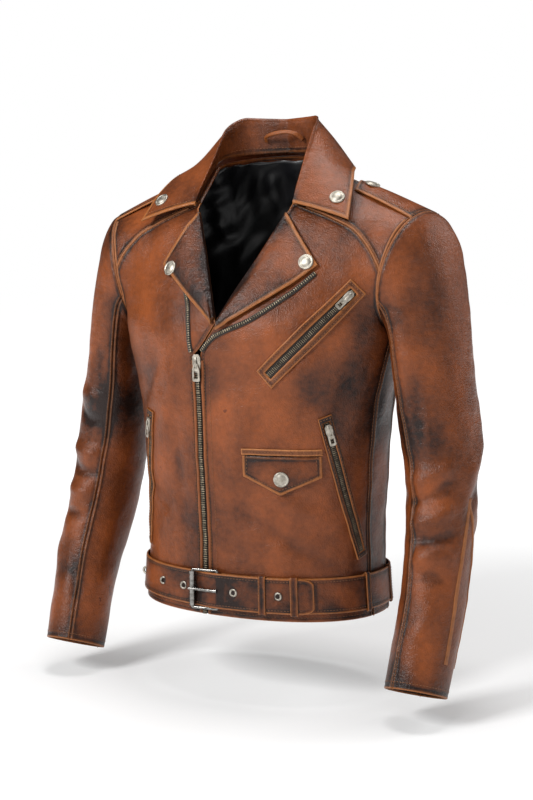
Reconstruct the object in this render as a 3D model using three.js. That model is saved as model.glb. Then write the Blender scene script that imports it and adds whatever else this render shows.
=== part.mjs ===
// A zipped leather riding jacket, standing as if worn, as separate panels, trims and fittings.
// Millimetres. +X is the wearer's left, -Y the front, +Z up. The origin is the middle of the neck base.
import * as THREE from 'three';

// ---------- sizes ----------
const BODY_LENGTH = 588; // neck base down to the hem
const CHEST_HALF_WIDTH = 195; // middle to the armpit
const WAIST_HALF_WIDTH = 166; // middle to the side at the narrowest
const CHEST_HALF_DEPTH = 138; // middle to the front at the chest
const BACK_HALF_DEPTH = 132; // middle to the shoulder blades
const SHOULDER_HALF_WIDTH = 229; // middle to the shoulder point
const SHOULDER_DROP = 67; // neck base down to the shoulder point
const ARMPIT_DROP = 222; // neck base down to the armpit
const ARMHOLE_HALF_DEPTH = 73; // half the front-to-back size of an armhole
const ARMHOLE_TURN = 14; // degrees an armhole faces forward
const NECK_HALF_WIDTH = 72; // middle to the side of the neck
const BREAK_DROP = 206; // neck base down to where the lapels start
const SLEEVE_DROP = 440; // armpit down to the cuff
const SLEEVE_SPREAD = 60; // how far the cuff stands outside the armpit
const SLEEVE_FORWARD = 91; // how far the cuff stands in front of the shoulder
const CUFF_HALF_WIDTH = 39;
const CUFF_HALF_DEPTH = 44;
const COLLAR_RISE = 60; // neck base up to the collar fold at the back
const LEATHER = 1.5; // thickness of one skin
const LINING = 0.8;
const DOUBLED = 2.4; // two skins sewn back to back
const SEAM_GAP = 0.6; // open joint between two panels
const BELT_WIDTH = 46;
const BELT_THICK = 2.4;
const BELT_BELOW_NECK = 553; // neck base down to the middle of the belt
const ZIP_LINE = -28; // the closed front zip stands this far to the wearer's right
const ZIP_TOP_DROP = 246; // neck base down to the top of the slider
const CHAIN_WIDTH = 7;
const SLIDER_LENGTH = 24;
const SLIDER_WIDTH = 12;
const SMALL_SLIDER = 0.8; // pocket sliders against the main one
const PULL_LENGTH = 23;
const SNAP_RADIUS = 10;
const SNAP_HEIGHT = 3;
const EPAULETTE_THICK = 2.2;

// ---------- vectors ----------
const clamp = (t, a = 0, b = 1) => Math.min(b, Math.max(a, t));
const smooth = (t) => clamp(t) ** 2 * (3 - 2 * clamp(t));
const lerp = (a, b, t) => a + (b - a) * t;
const mix = (a, b, t) => a.map((x, i) => lerp(x, b[i], t));
const add = (a, b, k = 1) => a.map((x, i) => x + b[i] * k);
const sub = (a, b) => add(a, b, -1);
const dot = (a, b) => a[0] * b[0] + a[1] * b[1] + a[2] * b[2];
const cross = (a, b) => [a[1] * b[2] - a[2] * b[1], a[2] * b[0] - a[0] * b[2], a[0] * b[1] - a[1] * b[0]];
const size = (a) => Math.hypot(...a);
const unit = (a) => a.map((x) => x / size(a));
const mirror = (a) => [-a[0], a[1], a[2]];
const steps = (a, b, n) => Array.from({ length: n + 1 }, (_, i) => lerp(a, b, i / n));

// A smooth curve through a few values that never overshoots them.
function curve(xs, ys) {
  const last = xs.length - 1;
  const d = xs.slice(1).map((x, i) => (ys[i + 1] - ys[i]) / (x - xs[i]));
  const m = ys.map((_, i) => {
    if (i === 0) return d[0];
    if (i === last) return d[last - 1];
    return d[i - 1] * d[i] <= 0 ? 0 : (2 * d[i - 1] * d[i]) / (d[i - 1] + d[i]);
  });
  return (x) => {
    let k = 0;
    while (k < last - 1 && x >= xs[k + 1]) k += 1;
    const h = xs[k + 1] - xs[k];
    const t = clamp((x - xs[k]) / h);
    const rise = ys[k] * (1 + 2 * t) * (1 - t) ** 2 + ys[k + 1] * t * t * (3 - 2 * t);
    return rise + m[k] * h * t * (1 - t) ** 2 + m[k + 1] * h * t * t * (t - 1);
  };
}

function curve3(xs, points) {
  const parts = [0, 1, 2].map((i) => curve(xs, points.map((p) => p[i])));
  return (x) => parts.map((f) => f(x));
}

// ---------- the torso as two surfaces, front(u, v) and back(u, v) ----------
// u runs from the middle (0) to the side seam or armhole (1, and -1 on the right).
// v runs from the hem (0) to the shoulder (1).
const HEM = -BODY_LENGTH;
const PIT = -ARMPIT_DROP;
const BREAK = -BREAK_DROP;
const V_PIT = 0.6;
const V_BREAK = 0.61;
const V_GORGE = 0.852;
const SIDE_SEAM = 0.86;
const LEVELS = [0, 0.13, 0.32, 0.51, 0.73, 1].map((t) => lerp(HEM, PIT, t));
const WIDTHS = [1.036, 1.012, 0.994, 1.012, 1.054].map((k) => k * WAIST_HALF_WIDTH);
const halfWidth = curve(LEVELS, [...WIDTHS, CHEST_HALF_WIDTH]);
const halfDepth = curve(LEVELS, [0.862, 0.851, 0.865, 0.903, 0.947, 1].map((k) => k * CHEST_HALF_DEPTH));
const backDepth = curve(
  [HEM, 0.85 * HEM, 0.646 * HEM, 0.425 * HEM, 0.204 * HEM, -30, 14],
  [0.856, 0.833, 0.894, 1, 0.97, 0.682, 0.47].map((k) => k * BACK_HALF_DEPTH),
);
const NECK = [NECK_HALF_WIDTH, 4, 0];
const TIP = [SHOULDER_HALF_WIDTH, 3, -SHOULDER_DROP];
const ARMPIT = [CHEST_HALF_WIDTH + 1.5, 4, PIT];
const GORGE = [NECK_HALF_WIDTH - 4, -64, -60];
const TURN = (ARMHOLE_TURN * Math.PI) / 180;
const BACKWARD = [Math.sin(TURN), Math.cos(TURN), 0];
const BACK_NECK = [0, 0.47 * BACK_HALF_DEPTH, 14];

function armhole(t, side) {
  const middle = mix(ARMPIT, TIP, 0.5);
  const up = sub(TIP, middle);
  const level = add(middle, up, -Math.cos(Math.PI * t));
  return add(level, BACKWARD, side * Math.sin(Math.PI * t) * ARMHOLE_HALF_DEPTH);
}

function edge(v, side) {
  if (v > V_PIT) return armhole((v - V_PIT) / (1 - V_PIT), side);
  const z = lerp(HEM, PIT, v / V_PIT);
  return [halfWidth(z) + 1.5 * smooth((z - PIT + 60) / 60), 3, z];
}

function frontMiddle(v) {
  if (v <= V_BREAK) {
    const z = lerp(HEM, BREAK, v / V_BREAK);
    return [0, -halfDepth(z), z];
  }
  const start = [0, -halfDepth(BREAK), BREAK];
  if (v <= V_GORGE) return mix(start, GORGE, (v - V_BREAK) / (V_GORGE - V_BREAK));
  return mix(GORGE, NECK, (v - V_GORGE) / (1 - V_GORGE));
}

function backMiddle(v) {
  const z = lerp(HEM, BACK_NECK[2], v);
  return [0, backDepth(z), z];
}

function row(u, v, from, to) {
  const angle = (Math.abs(u) * Math.PI) / 2;
  const n = 2.25;
  const r = (Math.abs(Math.cos(angle)) ** n + Math.abs(Math.sin(angle)) ** n) ** (-1 / n);
  const straight = smooth((v - 0.62) / 0.38);
  const across = lerp(Math.sin(angle) * r, Math.abs(u), straight);
  const along = lerp(1 - Math.cos(angle) * r, Math.abs(u), straight);
  const share = [across, along, (across + along) / 2];
  const p = share.map((k, i) => lerp(from[i], to[i], k));
  return u < 0 ? mirror(p) : p;
}

const front = (u, v) => row(u, v, frontMiddle(v), edge(v, -1));

// The top of the back follows the neck, then the shoulder.
const U_NECK = 0.36;
function backTop(u) {
  const angle = (clamp(u / U_NECK) * Math.PI) / 2;
  const [side, behind] = [Math.sin(angle), Math.cos(angle)];
  const around = [NECK[0] * side, lerp(NECK[1], BACK_NECK[1], behind), BACK_NECK[2] * behind];
  return u < U_NECK ? around : mix(NECK, TIP, (u - U_NECK) / (1 - U_NECK));
}

function back(u, v) {
  const a = Math.abs(u);
  const plain = row(a, v, backMiddle(v), edge(v, 1));
  const lift = sub(backTop(a), row(a, 1, backMiddle(1), edge(1, 1)));
  const p = add(plain, lift, smooth((v - 0.72) / 0.28));
  return u < 0 ? mirror(p) : p;
}

// Away from the middle of the body; neighbouring panels share this direction, so their skins never cross.
function outward(p) {
  const up = smooth((p[2] - PIT) / -PIT);
  const reach = lerp(60, 120, up);
  const level = p[2] <= PIT ? p[2] : lerp(PIT, p[2], 0.55);
  return unit([p[0] - clamp(p[0], -reach, reach), p[1], p[2] - level]);
}

function normal(surface, u, v) {
  const h = 2e-3;
  const p = surface(u, v);
  const du = sub(surface(Math.abs(u) + h > 1 ? u : u + h, v), surface(Math.abs(u) + h > 1 ? u - h : u, v));
  const dv = sub(surface(u, Math.min(1, v + h)), surface(u, Math.min(1, v + h) - 2 * h));
  const n = unit(cross(du, dv));
  return dot(n, outward(p)) < 0 ? n.map((x) => -x) : n;
}

// The place on a surface nearest to a point.
function nearest(surface, target, start) {
  let [u, v] = start;
  const h = 1e-3;
  for (let i = 0; i < 30; i += 1) {
    const p = surface(u, v);
    const du = sub(surface(u + h, v), p).map((x) => x / h);
    const dv = sub(surface(u, v + h), p).map((x) => x / h);
    const miss = sub(target, p);
    const [a, b, c] = [dot(du, du), dot(du, dv), dot(dv, dv)];
    const [e, f] = [dot(miss, du), dot(miss, dv)];
    const k = a * c - b * b;
    u = clamp(u + clamp((c * e - b * f) / k, -0.1, 0.1), -0.99, 0.99);
    v = clamp(v + clamp((a * f - b * e) / k, -0.1, 0.1), 0.002, 0.99);
  }
  return [u, v];
}

// A point of the front at height `lift` over the place with this x and z.
function onFront(x, z, lift) {
  const side = Math.sign(x) || 1;
  let [u, v] = [clamp(Math.abs(x) / 190, 0.02, 0.95), clamp((z - HEM) / (18 - HEM), 0.01, 0.9)];
  const h = 1e-3;
  for (let i = 0; i < 40; i += 1) {
    const p = front(u, v);
    const du = sub(front(u + h, v), p);
    const dv = sub(front(u, v + h), p);
    const k = du[0] * dv[2] - dv[0] * du[2];
    const [e, f] = [Math.abs(x) - p[0], z - p[2]];
    u = clamp(u + clamp(((e * dv[2] - f * dv[0]) / k) * h, -0.08, 0.08), 0, 0.97);
    v = clamp(v + clamp(((f * du[0] - e * du[2]) / k) * h, -0.08, 0.08), 0.002, 0.985);
  }
  const n = normal(front, u, v);
  const p = add(front(u, v), n, lift);
  return side < 0 ? mirror(p) : p;
}

function frontFrame(x, z) {
  const p = onFront(x, z, 0);
  const n = unit(sub(onFront(x, z, 5), p));
  return [p, n];
}

// ---------- solids ----------
function solid(points, faces) {
  let volume = 0;
  faces.forEach(([a, b, c]) => {
    volume += dot(points[a], cross(points[b], points[c]));
  });
  const outwardFaces = volume < 0 ? faces.map(([a, b, c]) => [a, c, b]) : faces;
  const geometry = new THREE.BufferGeometry();
  geometry.setAttribute('position', new THREE.Float32BufferAttribute(points.flat(), 3));
  geometry.setIndex(outwardFaces.flat());
  geometry.computeVertexNormals();
  return geometry;
}

// A slab between two skins over a grid. Cells can be left out; `round` joins the last column to the first.
function slab(us, vs, top, under, keep = () => true, round = false) {
  const columns = us.length;
  const at = (i, j, k) => ((i % columns) * vs.length + j) * 2 + k;
  const points = us.flatMap((u) => vs.flatMap((v) => [top(u, v), under(u, v)]));
  const cells = round ? columns : columns - 1;
  const kept = (i, j) => {
    const k = round ? (i + columns) % columns : i;
    return k >= 0 && k < cells && j >= 0 && j < vs.length - 1 && keep(us[k], vs[j], k, j);
  };
  const faces = [];
  for (let i = 0; i < cells; i += 1) {
    for (let j = 0; j < vs.length - 1; j += 1) {
      if (!kept(i, j)) continue;
      const corners = [[i, j], [i + 1, j], [i + 1, j + 1], [i, j + 1]];
      const [a, b, c, d] = corners.map(([x, y]) => at(x, y, 0));
      faces.push([a, b, c], [a, c, d], [a + 1, c + 1, b + 1], [a + 1, d + 1, c + 1]);
      [[i, j - 1], [i + 1, j], [i, j + 1], [i - 1, j]].forEach(([x, y], k) => {
        if (kept(x, y)) return;
        const [m, n] = [at(...corners[k], 0), at(...corners[(k + 1) % 4], 0)];
        faces.push([n, m, m + 1], [n, m + 1, n + 1]);
      });
    }
  }
  return solid(...compact(points, faces));
}

function compact(points, faces) {
  const used = new Map();
  const renamed = faces.map((f) => f.map((i) => {
    if (!used.has(i)) used.set(i, used.size);
    return used.get(i);
  }));
  return [[...used.keys()].map((i) => points[i]), renamed];
}

// The placement whose x, y and z directions are `x`, `y` and their cross product, at `origin`.
function frame(origin, x, y) {
  const matrix = new THREE.Matrix4().makeBasis(...[x, y, cross(x, y)].map((p) => new THREE.Vector3(...p)));
  return matrix.setPosition(...origin);
}

// The placement that stands a turned body's own y axis along `axis`.
function standing(origin, axis) {
  const x = unit(cross(axis, Math.abs(axis[2]) > 0.9 ? [1, 0, 0] : [0, 0, 1]));
  return frame(origin, x, axis);
}

const flat = (points) => points.map(([x, y]) => new THREE.Vector2(x, y));
const rectangle = (x0, x1, y0, y1) => [[x0, y0], [x1, y0], [x1, y1], [x0, y1]];

// A flat plate with holes, from z = low up to z = high.
function plate(outline, holes, low, high) {
  const shape = new THREE.Shape(flat(outline));
  shape.holes = holes.map((hole) => new THREE.Path(flat(hole)));
  const geometry = new THREE.ExtrudeGeometry(shape, { depth: high - low, bevelEnabled: false });
  return geometry.translate(0, 0, low);
}

const turned = (profile, count = 14) => new THREE.LatheGeometry(flat(profile), count);

function cord(path, radius, count = 8) {
  const section = new THREE.Shape().absarc(0, 0, radius, 0, 2 * Math.PI);
  const extrudePath = new THREE.CatmullRomCurve3(path.map((p) => new THREE.Vector3(...p)));
  return new THREE.ExtrudeGeometry(section, { steps: 16, curveSegments: count, extrudePath });
}

// ---------- materials ----------
const jacket = new THREE.Group();
jacket.name = 'leather_riding_jacket';
const LOOKS = {
  leather: [0x7a4526, 0.55, 0],
  trim: [0x9a6238, 0.55, 0],
  lining: [0x101012, 0.45, 0],
  metal: [0xa8a49c, 0.35, 1],
  zip: [0x8f8b84, 0.4, 1],
};

function piece(name, look, geometry, placement = new THREE.Matrix4()) {
  const [color, roughness, metalness] = LOOKS[look];
  const mesh = new THREE.Mesh(geometry, new THREE.MeshStandardMaterial({ color, roughness, metalness }));
  mesh.applyMatrix4(placement);
  mesh.name = name;
  mesh.material.name = `${name}_${look}`;
  jacket.add(mesh);
}

const SIDES = [['left', 1], ['right', -1]];

// ---------- torso panels ----------
const inside = (surface, d) => (u, v) => {
  const p = surface(u, v);
  return add(p, outward(p), -d);
};
const GAP_V = SEAM_GAP / 1100;
const GAP_U = SEAM_GAP / 520;
const zipGap = curve([-ZIP_TOP_DROP, -ZIP_TOP_DROP + 14], [CHAIN_WIDTH / 2 + 1.6, 1]);

// Where the two fronts meet: on the zip line, then over to the middle at the lapels.
function meeting(z, side) {
  const line = z < -ZIP_TOP_DROP ? ZIP_LINE : lerp(ZIP_LINE, 0, (z + ZIP_TOP_DROP) / (BREAK + ZIP_TOP_DROP));
  return line + side * zipGap(clamp(z, -ZIP_TOP_DROP, -ZIP_TOP_DROP + 14));
}

function meetingU(v, side) {
  if (v > V_BREAK) return side * GAP_U;
  const target = meeting(frontMiddle(v)[2], side);
  let [low, high] = [-0.4, 0.4];
  for (let i = 0; i < 40; i += 1) {
    const half = (low + high) / 2;
    if (front(half, v)[0] < target) low = half;
    else high = half;
  }
  return v > V_BREAK - 0.01 ? side * Math.max(side * low, GAP_U) : low;
}

// Both skins of the torso are cut on one grid, so a panel and its lining stay a constant step apart.
// Columns: 0 at the meeting of the fronts, 1 at the side panel seam, 2 at the side seam or armhole.
// Rows: their own v below the yoke seam, 1 at the seam itself, 2 at the shoulder.
const yokeLine = curve([0, 0.5, 1], [0.872, 0.862, 0.805]);
const SIDE_COLUMNS = [1.34, 1.67, 2];
const FRONT_COLUMNS = [...steps(0, 1, 10), ...SIDE_COLUMNS];
const levelAt = (drop) => (V_PIT * (BODY_LENGTH - drop)) / (BODY_LENGTH - ARMPIT_DROP);
const [V_BELT, V_BELT_TOP] = [levelAt(BELT_BELOW_NECK), levelAt(BELT_BELOW_NECK - 0.6 * BELT_WIDTH)];
const V_ZIP_TOP = (V_BREAK * (BODY_LENGTH - ZIP_TOP_DROP - 4)) / (BODY_LENGTH - BREAK_DROP);
const EVEN_ROWS = [0.07, 0.16, 0.26, 0.36, 0.46].filter((v) => Math.abs(v - V_BELT) > 0.02);
const LOW_ROWS = [0.001, ...EVEN_ROWS, V_BELT, V_BELT_TOP, V_ZIP_TOP, V_PIT - GAP_V].sort((a, b) => a - b);
const TOP_ROWS = [V_PIT + GAP_V, V_BREAK, 0.66, 0.72, 0.79];
const SEAM_U = SIDE_SEAM - GAP_U;

function frontGrid(side, column, level) {
  const below = Math.min(level, 0.9);
  const start = side * meetingU(below, side);
  const u = column <= 1 ? lerp(start, SEAM_U, column) : lerp(SEAM_U, 1, column - 1);
  if (level < 1) return [side * u, level];
  const seam = yokeLine(clamp(u));
  const v = level === 1 ? seam - GAP_V : lerp(seam + GAP_V, 1 - GAP_V, level - 1);
  return [side * u, level < 1.001 && level > 1 ? seam + GAP_V : v];
}

const onGrid = (surface, side) => (column, level) => surface(...frontGrid(side, column, level));
const YOKE_ROWS = [1.0001, 1.25, 1.5, 1.75, 2];

function frontPanel(side) {
  const keep = (column, level) => column < 1 || level > V_PIT;
  const rows = [...LOW_ROWS, ...TOP_ROWS, 1];
  return slab(FRONT_COLUMNS, rows, onGrid(front, side), onGrid(inside(front, LEATHER), side), keep);
}

function frontYoke(side) {
  return slab(FRONT_COLUMNS, YOKE_ROWS, onGrid(front, side), onGrid(inside(front, LEATHER), side));
}

const BACK_YOKE = 0.84;
const BACK_HALF = [0, 0.12, 0.24, U_NECK, 0.52, 0.68, SEAM_U, lerp(SEAM_U, 1, 0.5), 1];
const BACK_COLUMNS = [...BACK_HALF.slice(1).map((u) => -u).reverse(), ...BACK_HALF];
const BACK_TOP_ROWS = [V_PIT + GAP_V, 0.66, 0.72, 0.78, BACK_YOKE - GAP_V];
const BACK_YOKE_ROWS = steps(BACK_YOKE + GAP_V, 1 - GAP_V, 4);

// Round the side from the front seam (q below 1) to the back seam (q above 1).
const around = (q, v) => (q <= 1 ? front(q, v) : back(2 - q, v));

function sidePanel(side) {
  const place = (surface) => (q, v) => (side > 0 ? surface(q, v) : mirror(surface(q, v)));
  const fore = SIDE_COLUMNS.map((c) => lerp(SEAM_U, 1, c - 1));
  const columns = [SIDE_SEAM + GAP_U, ...fore, 2 - lerp(SEAM_U, 1, 0.5), 2 - SIDE_SEAM - GAP_U];
  return slab(columns, LOW_ROWS, place(around), place(inside(around, LEATHER)));
}

function backPanel() {
  const keep = (u, v, i) => (u > -SEAM_U - 1e-9 && BACK_COLUMNS[i + 1] < SEAM_U + 1e-9) || v > V_PIT;
  return slab(BACK_COLUMNS, [...LOW_ROWS, ...BACK_TOP_ROWS], back, inside(back, LEATHER), keep);
}

SIDES.forEach(([name, side]) => {
  piece(`front_panel_${name}`, 'leather', frontPanel(side));
  piece(`front_yoke_${name}`, 'leather', frontYoke(side));
  piece(`side_panel_${name}`, 'leather', sidePanel(side));
});
piece('back_panel', 'leather', backPanel());
piece('back_yoke', 'leather', slab(BACK_COLUMNS, BACK_YOKE_ROWS, back, inside(back, LEATHER)));

// ---------- lining ----------
const LINING_IN = LEATHER + 1.4;
const LINING_OUT = LINING_IN + LINING;

function frontLining(side) {
  const rows = [0.035, ...LOW_ROWS.slice(1), ...TOP_ROWS, 1, ...YOKE_ROWS.slice(1, -1), 1.97];
  const place = (surface) => (column, level) => {
    const tucked = Math.min(column, 2 - 4 * GAP_U);
    return surface(...frontGrid(side, tucked, level));
  };
  return slab(FRONT_COLUMNS, rows, place(inside(front, LINING_IN)), place(inside(front, LINING_OUT)));
}

function backLining() {
  const rows = [0.035, ...LOW_ROWS.slice(1), ...BACK_TOP_ROWS, ...BACK_YOKE_ROWS.slice(1, -1), 0.995];
  const tuck = (u) => clamp(u, 4 * GAP_U - 1, 1 - 4 * GAP_U);
  const place = (surface) => (u, v) => surface(tuck(u), v);
  return slab(BACK_COLUMNS, rows, place(inside(back, LINING_IN)), place(inside(back, LINING_OUT)));
}

SIDES.forEach(([name, side]) => piece(`lining_front_${name}`, 'lining', frontLining(side)));
piece('lining_back', 'lining', backLining());

// ---------- sleeves ----------
// s runs from the armhole to the cuff; t turns round the sleeve from the outside (0) over the back.
const S_ROWS = [0, 0.06, 0.12, 0.2, 0.3, 0.42, 0.55, 0.7, 0.85, 1];
const toCuff = (share) => PIT - share * SLEEVE_DROP;
const CUFF_MIDDLE = ARMPIT[0] + SLEEVE_SPREAD;
const outerLine = curve3(S_ROWS, [
  TIP,
  [TIP[0] + 12, 3, TIP[2] - 7],
  [TIP[0] + 23, 4, TIP[2] - 23],
  [TIP[0] + 33, 5, TIP[2] - 61],
  [TIP[0] + 43, 6, toCuff(-0.073)],
  [CUFF_MIDDLE + 26, 9, toCuff(0.098)],
  [CUFF_MIDDLE + 37, 9, toCuff(0.28)],
  [CUFF_MIDDLE + 44, -6, toCuff(0.495)],
  [CUFF_MIDDLE + 45, -46, toCuff(0.75)],
  [CUFF_MIDDLE + CUFF_HALF_WIDTH, 3 - SLEEVE_FORWARD, toCuff(1)],
]);
const BODY_ROOM = 3.5; // the least distance from a sleeve's inner line to the side of the body
const beside = ([x, y, z]) => [Math.max(x, halfWidth(z) + BODY_ROOM), y, z];
const innerLine = curve3(S_ROWS, [
  ARMPIT,
  ...[
    [ARMPIT[0] + 2, 3, PIT - 7],
    [ARMPIT[0] + 3, 4, PIT - 14],
    [ARMPIT[0] + 3, 5, PIT - 26],
    [ARMPIT[0] + 2, 6, toCuff(0.12)],
    [ARMPIT[0] + 1, 9, toCuff(0.211)],
    [ARMPIT[0] + 7, 9, toCuff(0.348)],
    [ARMPIT[0] + 15, -6, toCuff(0.53)],
    [ARMPIT[0] + 24, -46, toCuff(0.76)],
  ].map(beside),
  [CUFF_MIDDLE - CUFF_HALF_WIDTH, 3 - SLEEVE_FORWARD, toCuff(1)],
]);
const sleeveDepth = curve(S_ROWS, [
  ...[1, 1.014, 1, 0.973, 0.945, 0.904, 0.836, 0.753].map((k) => k * ARMHOLE_HALF_DEPTH),
  1.11 * CUFF_HALF_DEPTH,
  CUFF_HALF_DEPTH,
]);

function sleeve(s, t, d = 0) {
  const [outer, inner] = [outerLine(s), innerLine(s)];
  const middle = mix(outer, inner, 0.5);
  const half = sub(outer, middle);
  const h = 1e-3;
  const [lo, hi] = [clamp(s - h), clamp(s + h)];
  const fall = sub(mix(outerLine(hi), innerLine(hi), 0.5), mix(outerLine(lo), innerLine(lo), 0.5));
  const pitch = Math.atan2(-fall[1], -fall[2]) * smooth((s - 0.3) / 0.3);
  const turn = TURN * (1 - smooth(s / 0.75));
  const backward = [Math.sin(turn), Math.cos(pitch) * Math.cos(turn), -Math.sin(pitch) * Math.cos(turn)];
  const across = unit(half);
  const wide = add(middle, across, (size(half) - d) * Math.cos(t));
  return add(wide, backward, (sleeveDepth(s) - d) * Math.sin(t));
}

const AWAY = unit(cross(BACKWARD, sub(TIP, ARMPIT))).map((x) => Math.abs(x));
const armholeAxis = unit([AWAY[0], -AWAY[1], -AWAY[2]]);
const FRONT_SEAM = 1.36 * Math.PI;
const BACK_SEAM = 0.6 * Math.PI;

const SLEEVE_START = 3.4; // gap outside the armhole plane, which the swinging sleeve needs

function sleeveSkin(side, d) {
  return (s, t) => {
    const p = add(sleeve(s, t, d), armholeAxis, SLEEVE_START * (1 - smooth(s / 0.16)));
    return side < 0 ? mirror(p) : p;
  };
}

const SLEEVE_ROWS = [0, 0.04, 0.09, 0.15, 0.22, 0.3, 0.39, 0.48, 0.57, 0.66, 0.75, 0.84, 0.92, 1];
const UPPER_ANGLES = steps(FRONT_SEAM - 2 * Math.PI, BACK_SEAM, 11);
const UNDER_ANGLES = steps(BACK_SEAM, FRONT_SEAM, 8);

function sleeveHalf(side, angles) {
  const skin = (d) => (t, s) => {
    const gap = (t === angles[0] ? 1 : 0) - (t === angles[angles.length - 1] ? 1 : 0);
    return sleeveSkin(side, d)(s, t + (gap * SEAM_GAP) / 120);
  };
  return slab(angles, SLEEVE_ROWS, skin(0), skin(LEATHER));
}

function sleeveLining(side) {
  const skin = (d) => (t, s) => sleeveSkin(side, d)(clamp(s, 0.004, 0.98), t);
  const angles = [...UPPER_ANGLES.slice(0, -1), ...UNDER_ANGLES.slice(0, -1)];
  return slab(angles, SLEEVE_ROWS, skin(LINING_IN), skin(LINING_OUT), () => true, true);
}

SIDES.forEach(([name, side]) => {
  piece(`sleeve_upper_${name}`, 'leather', sleeveHalf(side, UPPER_ANGLES));
  piece(`sleeve_under_${name}`, 'leather', sleeveHalf(side, UNDER_ANGLES));
  piece(`sleeve_lining_${name}`, 'lining', sleeveLining(side));
});

// ---------- collar ----------
const WS = [0, 0.3, 0.5, 0.7, 0.85, 1];
const folded = (points) => {
  const half = curve3(WS, points);
  return (w) => (w < 0 ? mirror(half(-w)) : half(w));
};
const widen = NECK_HALF_WIDTH / 72;
const neckSeam = folded([
  [0, 66, 15], [48 * widen, 48, 13], [72 * widen, 7, 4],
  [75 * widen, -20, -15], [74 * widen, -44, -38], [71 * widen, -64, -56],
]);
const foldLine = folded([
  [0, 58, COLLAR_RISE], [50 * widen, 42, COLLAR_RISE + 2], [64 * widen, 12, COLLAR_RISE - 14],
  [68 * widen, -20, 6], [71 * widen, -46, -28], [72 * widen, -66, -54],
]);
const leafEdge = folded([
  [0, 104, -16], [80 * widen, 80, -14], [114 * widen, 36, -8], [130 * widen, -2, -13],
  [143 * widen, -36, -37], [153 * widen, -70, -76],
]);

function between(a, b) {
  return (w, t) => mix(a(w), b(w), t);
}

function offsetSkin(surface, d) {
  return (w, t) => {
    const h = 1e-3;
    const dw = sub(surface(Math.min(1, w + h), t), surface(Math.max(-1, w - h), t));
    const dt = sub(surface(w, t + h), surface(w, t - h));
    return add(surface(w, t), unit(cross(dt, dw)), d);
  };
}

function collarLeaf() {
  const skin = between(foldLine, leafEdge);
  const columns = steps(-1, 1, 24);
  return slab(columns, [0.02, 0.25, 0.5, 0.75, 1], offsetSkin(skin, -0.4), offsetSkin(skin, -0.4 - DOUBLED));
}

function collarStand() {
  const skin = between(neckSeam, foldLine);
  const rows = [0.05, 0.35, 0.65, 0.94];
  return slab(steps(-0.84, 0.84, 18), rows, offsetSkin(skin, -0.4), offsetSkin(skin, -0.4 - DOUBLED));
}

piece('collar_leaf', 'leather', collarLeaf());
piece('collar_stand', 'leather', collarStand());
const LOOP_THICK = 3.6;
const standZ = (share) => lerp(neckSeam(0)[2], COLLAR_RISE, share);
const LOOP_PATH = [
  [-27, 50.8, standZ(0.267)],
  [-26, 46, standZ(0.4)],
  [-12, 41.5, standZ(0.511)],
  [5, 40.5, standZ(0.556)],
  [20, 42, standZ(0.5)],
  [30, 49.2, standZ(0.311)],
];
piece('hang_loop', 'trim', cord(LOOP_PATH, LOOP_THICK / 2));

// ---------- lapels ----------
const LAPELS = {
  left: { tip: [124, -131], low: [-1, -217], belly: 5 },
  right: { tip: [-106, -132], low: [2, -211], belly: 2 },
};

function lapelSkin(side, name, d) {
  const { tip, low, belly } = LAPELS[name];
  const roll = (a) => mix([0, BREAK - 4], [GORGE[0] * side, GORGE[2] - 3], a);
  const outer = (a) => add(mix(low, tip, a), [0, -1], belly * Math.sin(Math.PI * a));
  return (a, b) => {
    const [x, z] = mix(roll(a), outer(a), b);
    const lift = 0.9 + 2.2 * smooth(b / 0.3) + d;
    return onFront(side * Math.max(side * x, 0.6), z, lift);
  };
}

SIDES.forEach(([name, side]) => {
  const rows = [0, 0.15, 0.35, 0.6, 0.8, 1];
  const lapel = slab(steps(0.055, 0.96, 8), rows, lapelSkin(side, name, DOUBLED), lapelSkin(side, name, 0));
  piece(`lapel_${name}`, 'leather', lapel);
});

// ---------- strips laid on the front ----------
function strip(path, width, lift0, lift1, n = 10) {
  const at = curve3(path.map((_, i) => i / (path.length - 1)), path.map(([x, z]) => [x, z, 0]));
  const place = (lift) => (a, b) => {
    const [x, z] = at(a);
    const [p, q] = [at(clamp(a - 0.01)), at(clamp(a + 0.01))];
    const across = unit([-(q[1] - p[1]), q[0] - p[0]]);
    return onFront(x + across[0] * b * width, z + across[1] * b * width, lift);
  };
  return slab(steps(0, 1, n), [-0.5, 0.5], place(lift1), place(lift0));
}

// The closed part of the front zip: its teeth over a tape that runs behind both fronts.
const TAPE = 5; // how far the tape reaches beyond the teeth on each side
function mainChain() {
  const [low, high] = [HEM + 6, -ZIP_TOP_DROP - 4];
  const levels = LOW_ROWS.map((v) => lerp(HEM, BREAK, v / V_BREAK));
  const heights = [low, ...levels.filter((z) => z > low + 6 && z < high - 6), high];
  const half = CHAIN_WIDTH / 2;
  const step = 0.01;
  const columns = [-half - TAPE, -half - step, -half, half, half + step, half + TAPE];
  const top = (x, z) => onFront(ZIP_LINE + x, z, Math.abs(x) > half ? -LEATHER - 0.3 : 0.9);
  const under = (x, z) => onFront(ZIP_LINE + x, z, -LEATHER - 0.8);
  return slab(columns, heights, top, under);
}

piece('main_zip_chain', 'zip', mainChain());
const LEFT_TRACK = [[-20, -241], [-3, -224], [48, -201], [84, -175], [117, -144]];
const RIGHT_TRACK = [[-37, -243], [-46, -191], [-57, -167], [-66, -132], [-72, -104]];
piece('lapel_zip_track', 'zip', strip(LEFT_TRACK, 5, 1.3, 2.5, 14));
piece('front_zip_track', 'zip', strip(RIGHT_TRACK, 5, 1.2, 2.5, 12));

// ---------- zip sliders and pulls ----------
const CHAIN_LIFT = 2.1; // underside of a slider over the leather
const SLIDER_THICK = 1.8;
const PULL_THICK = 1.3;

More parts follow.
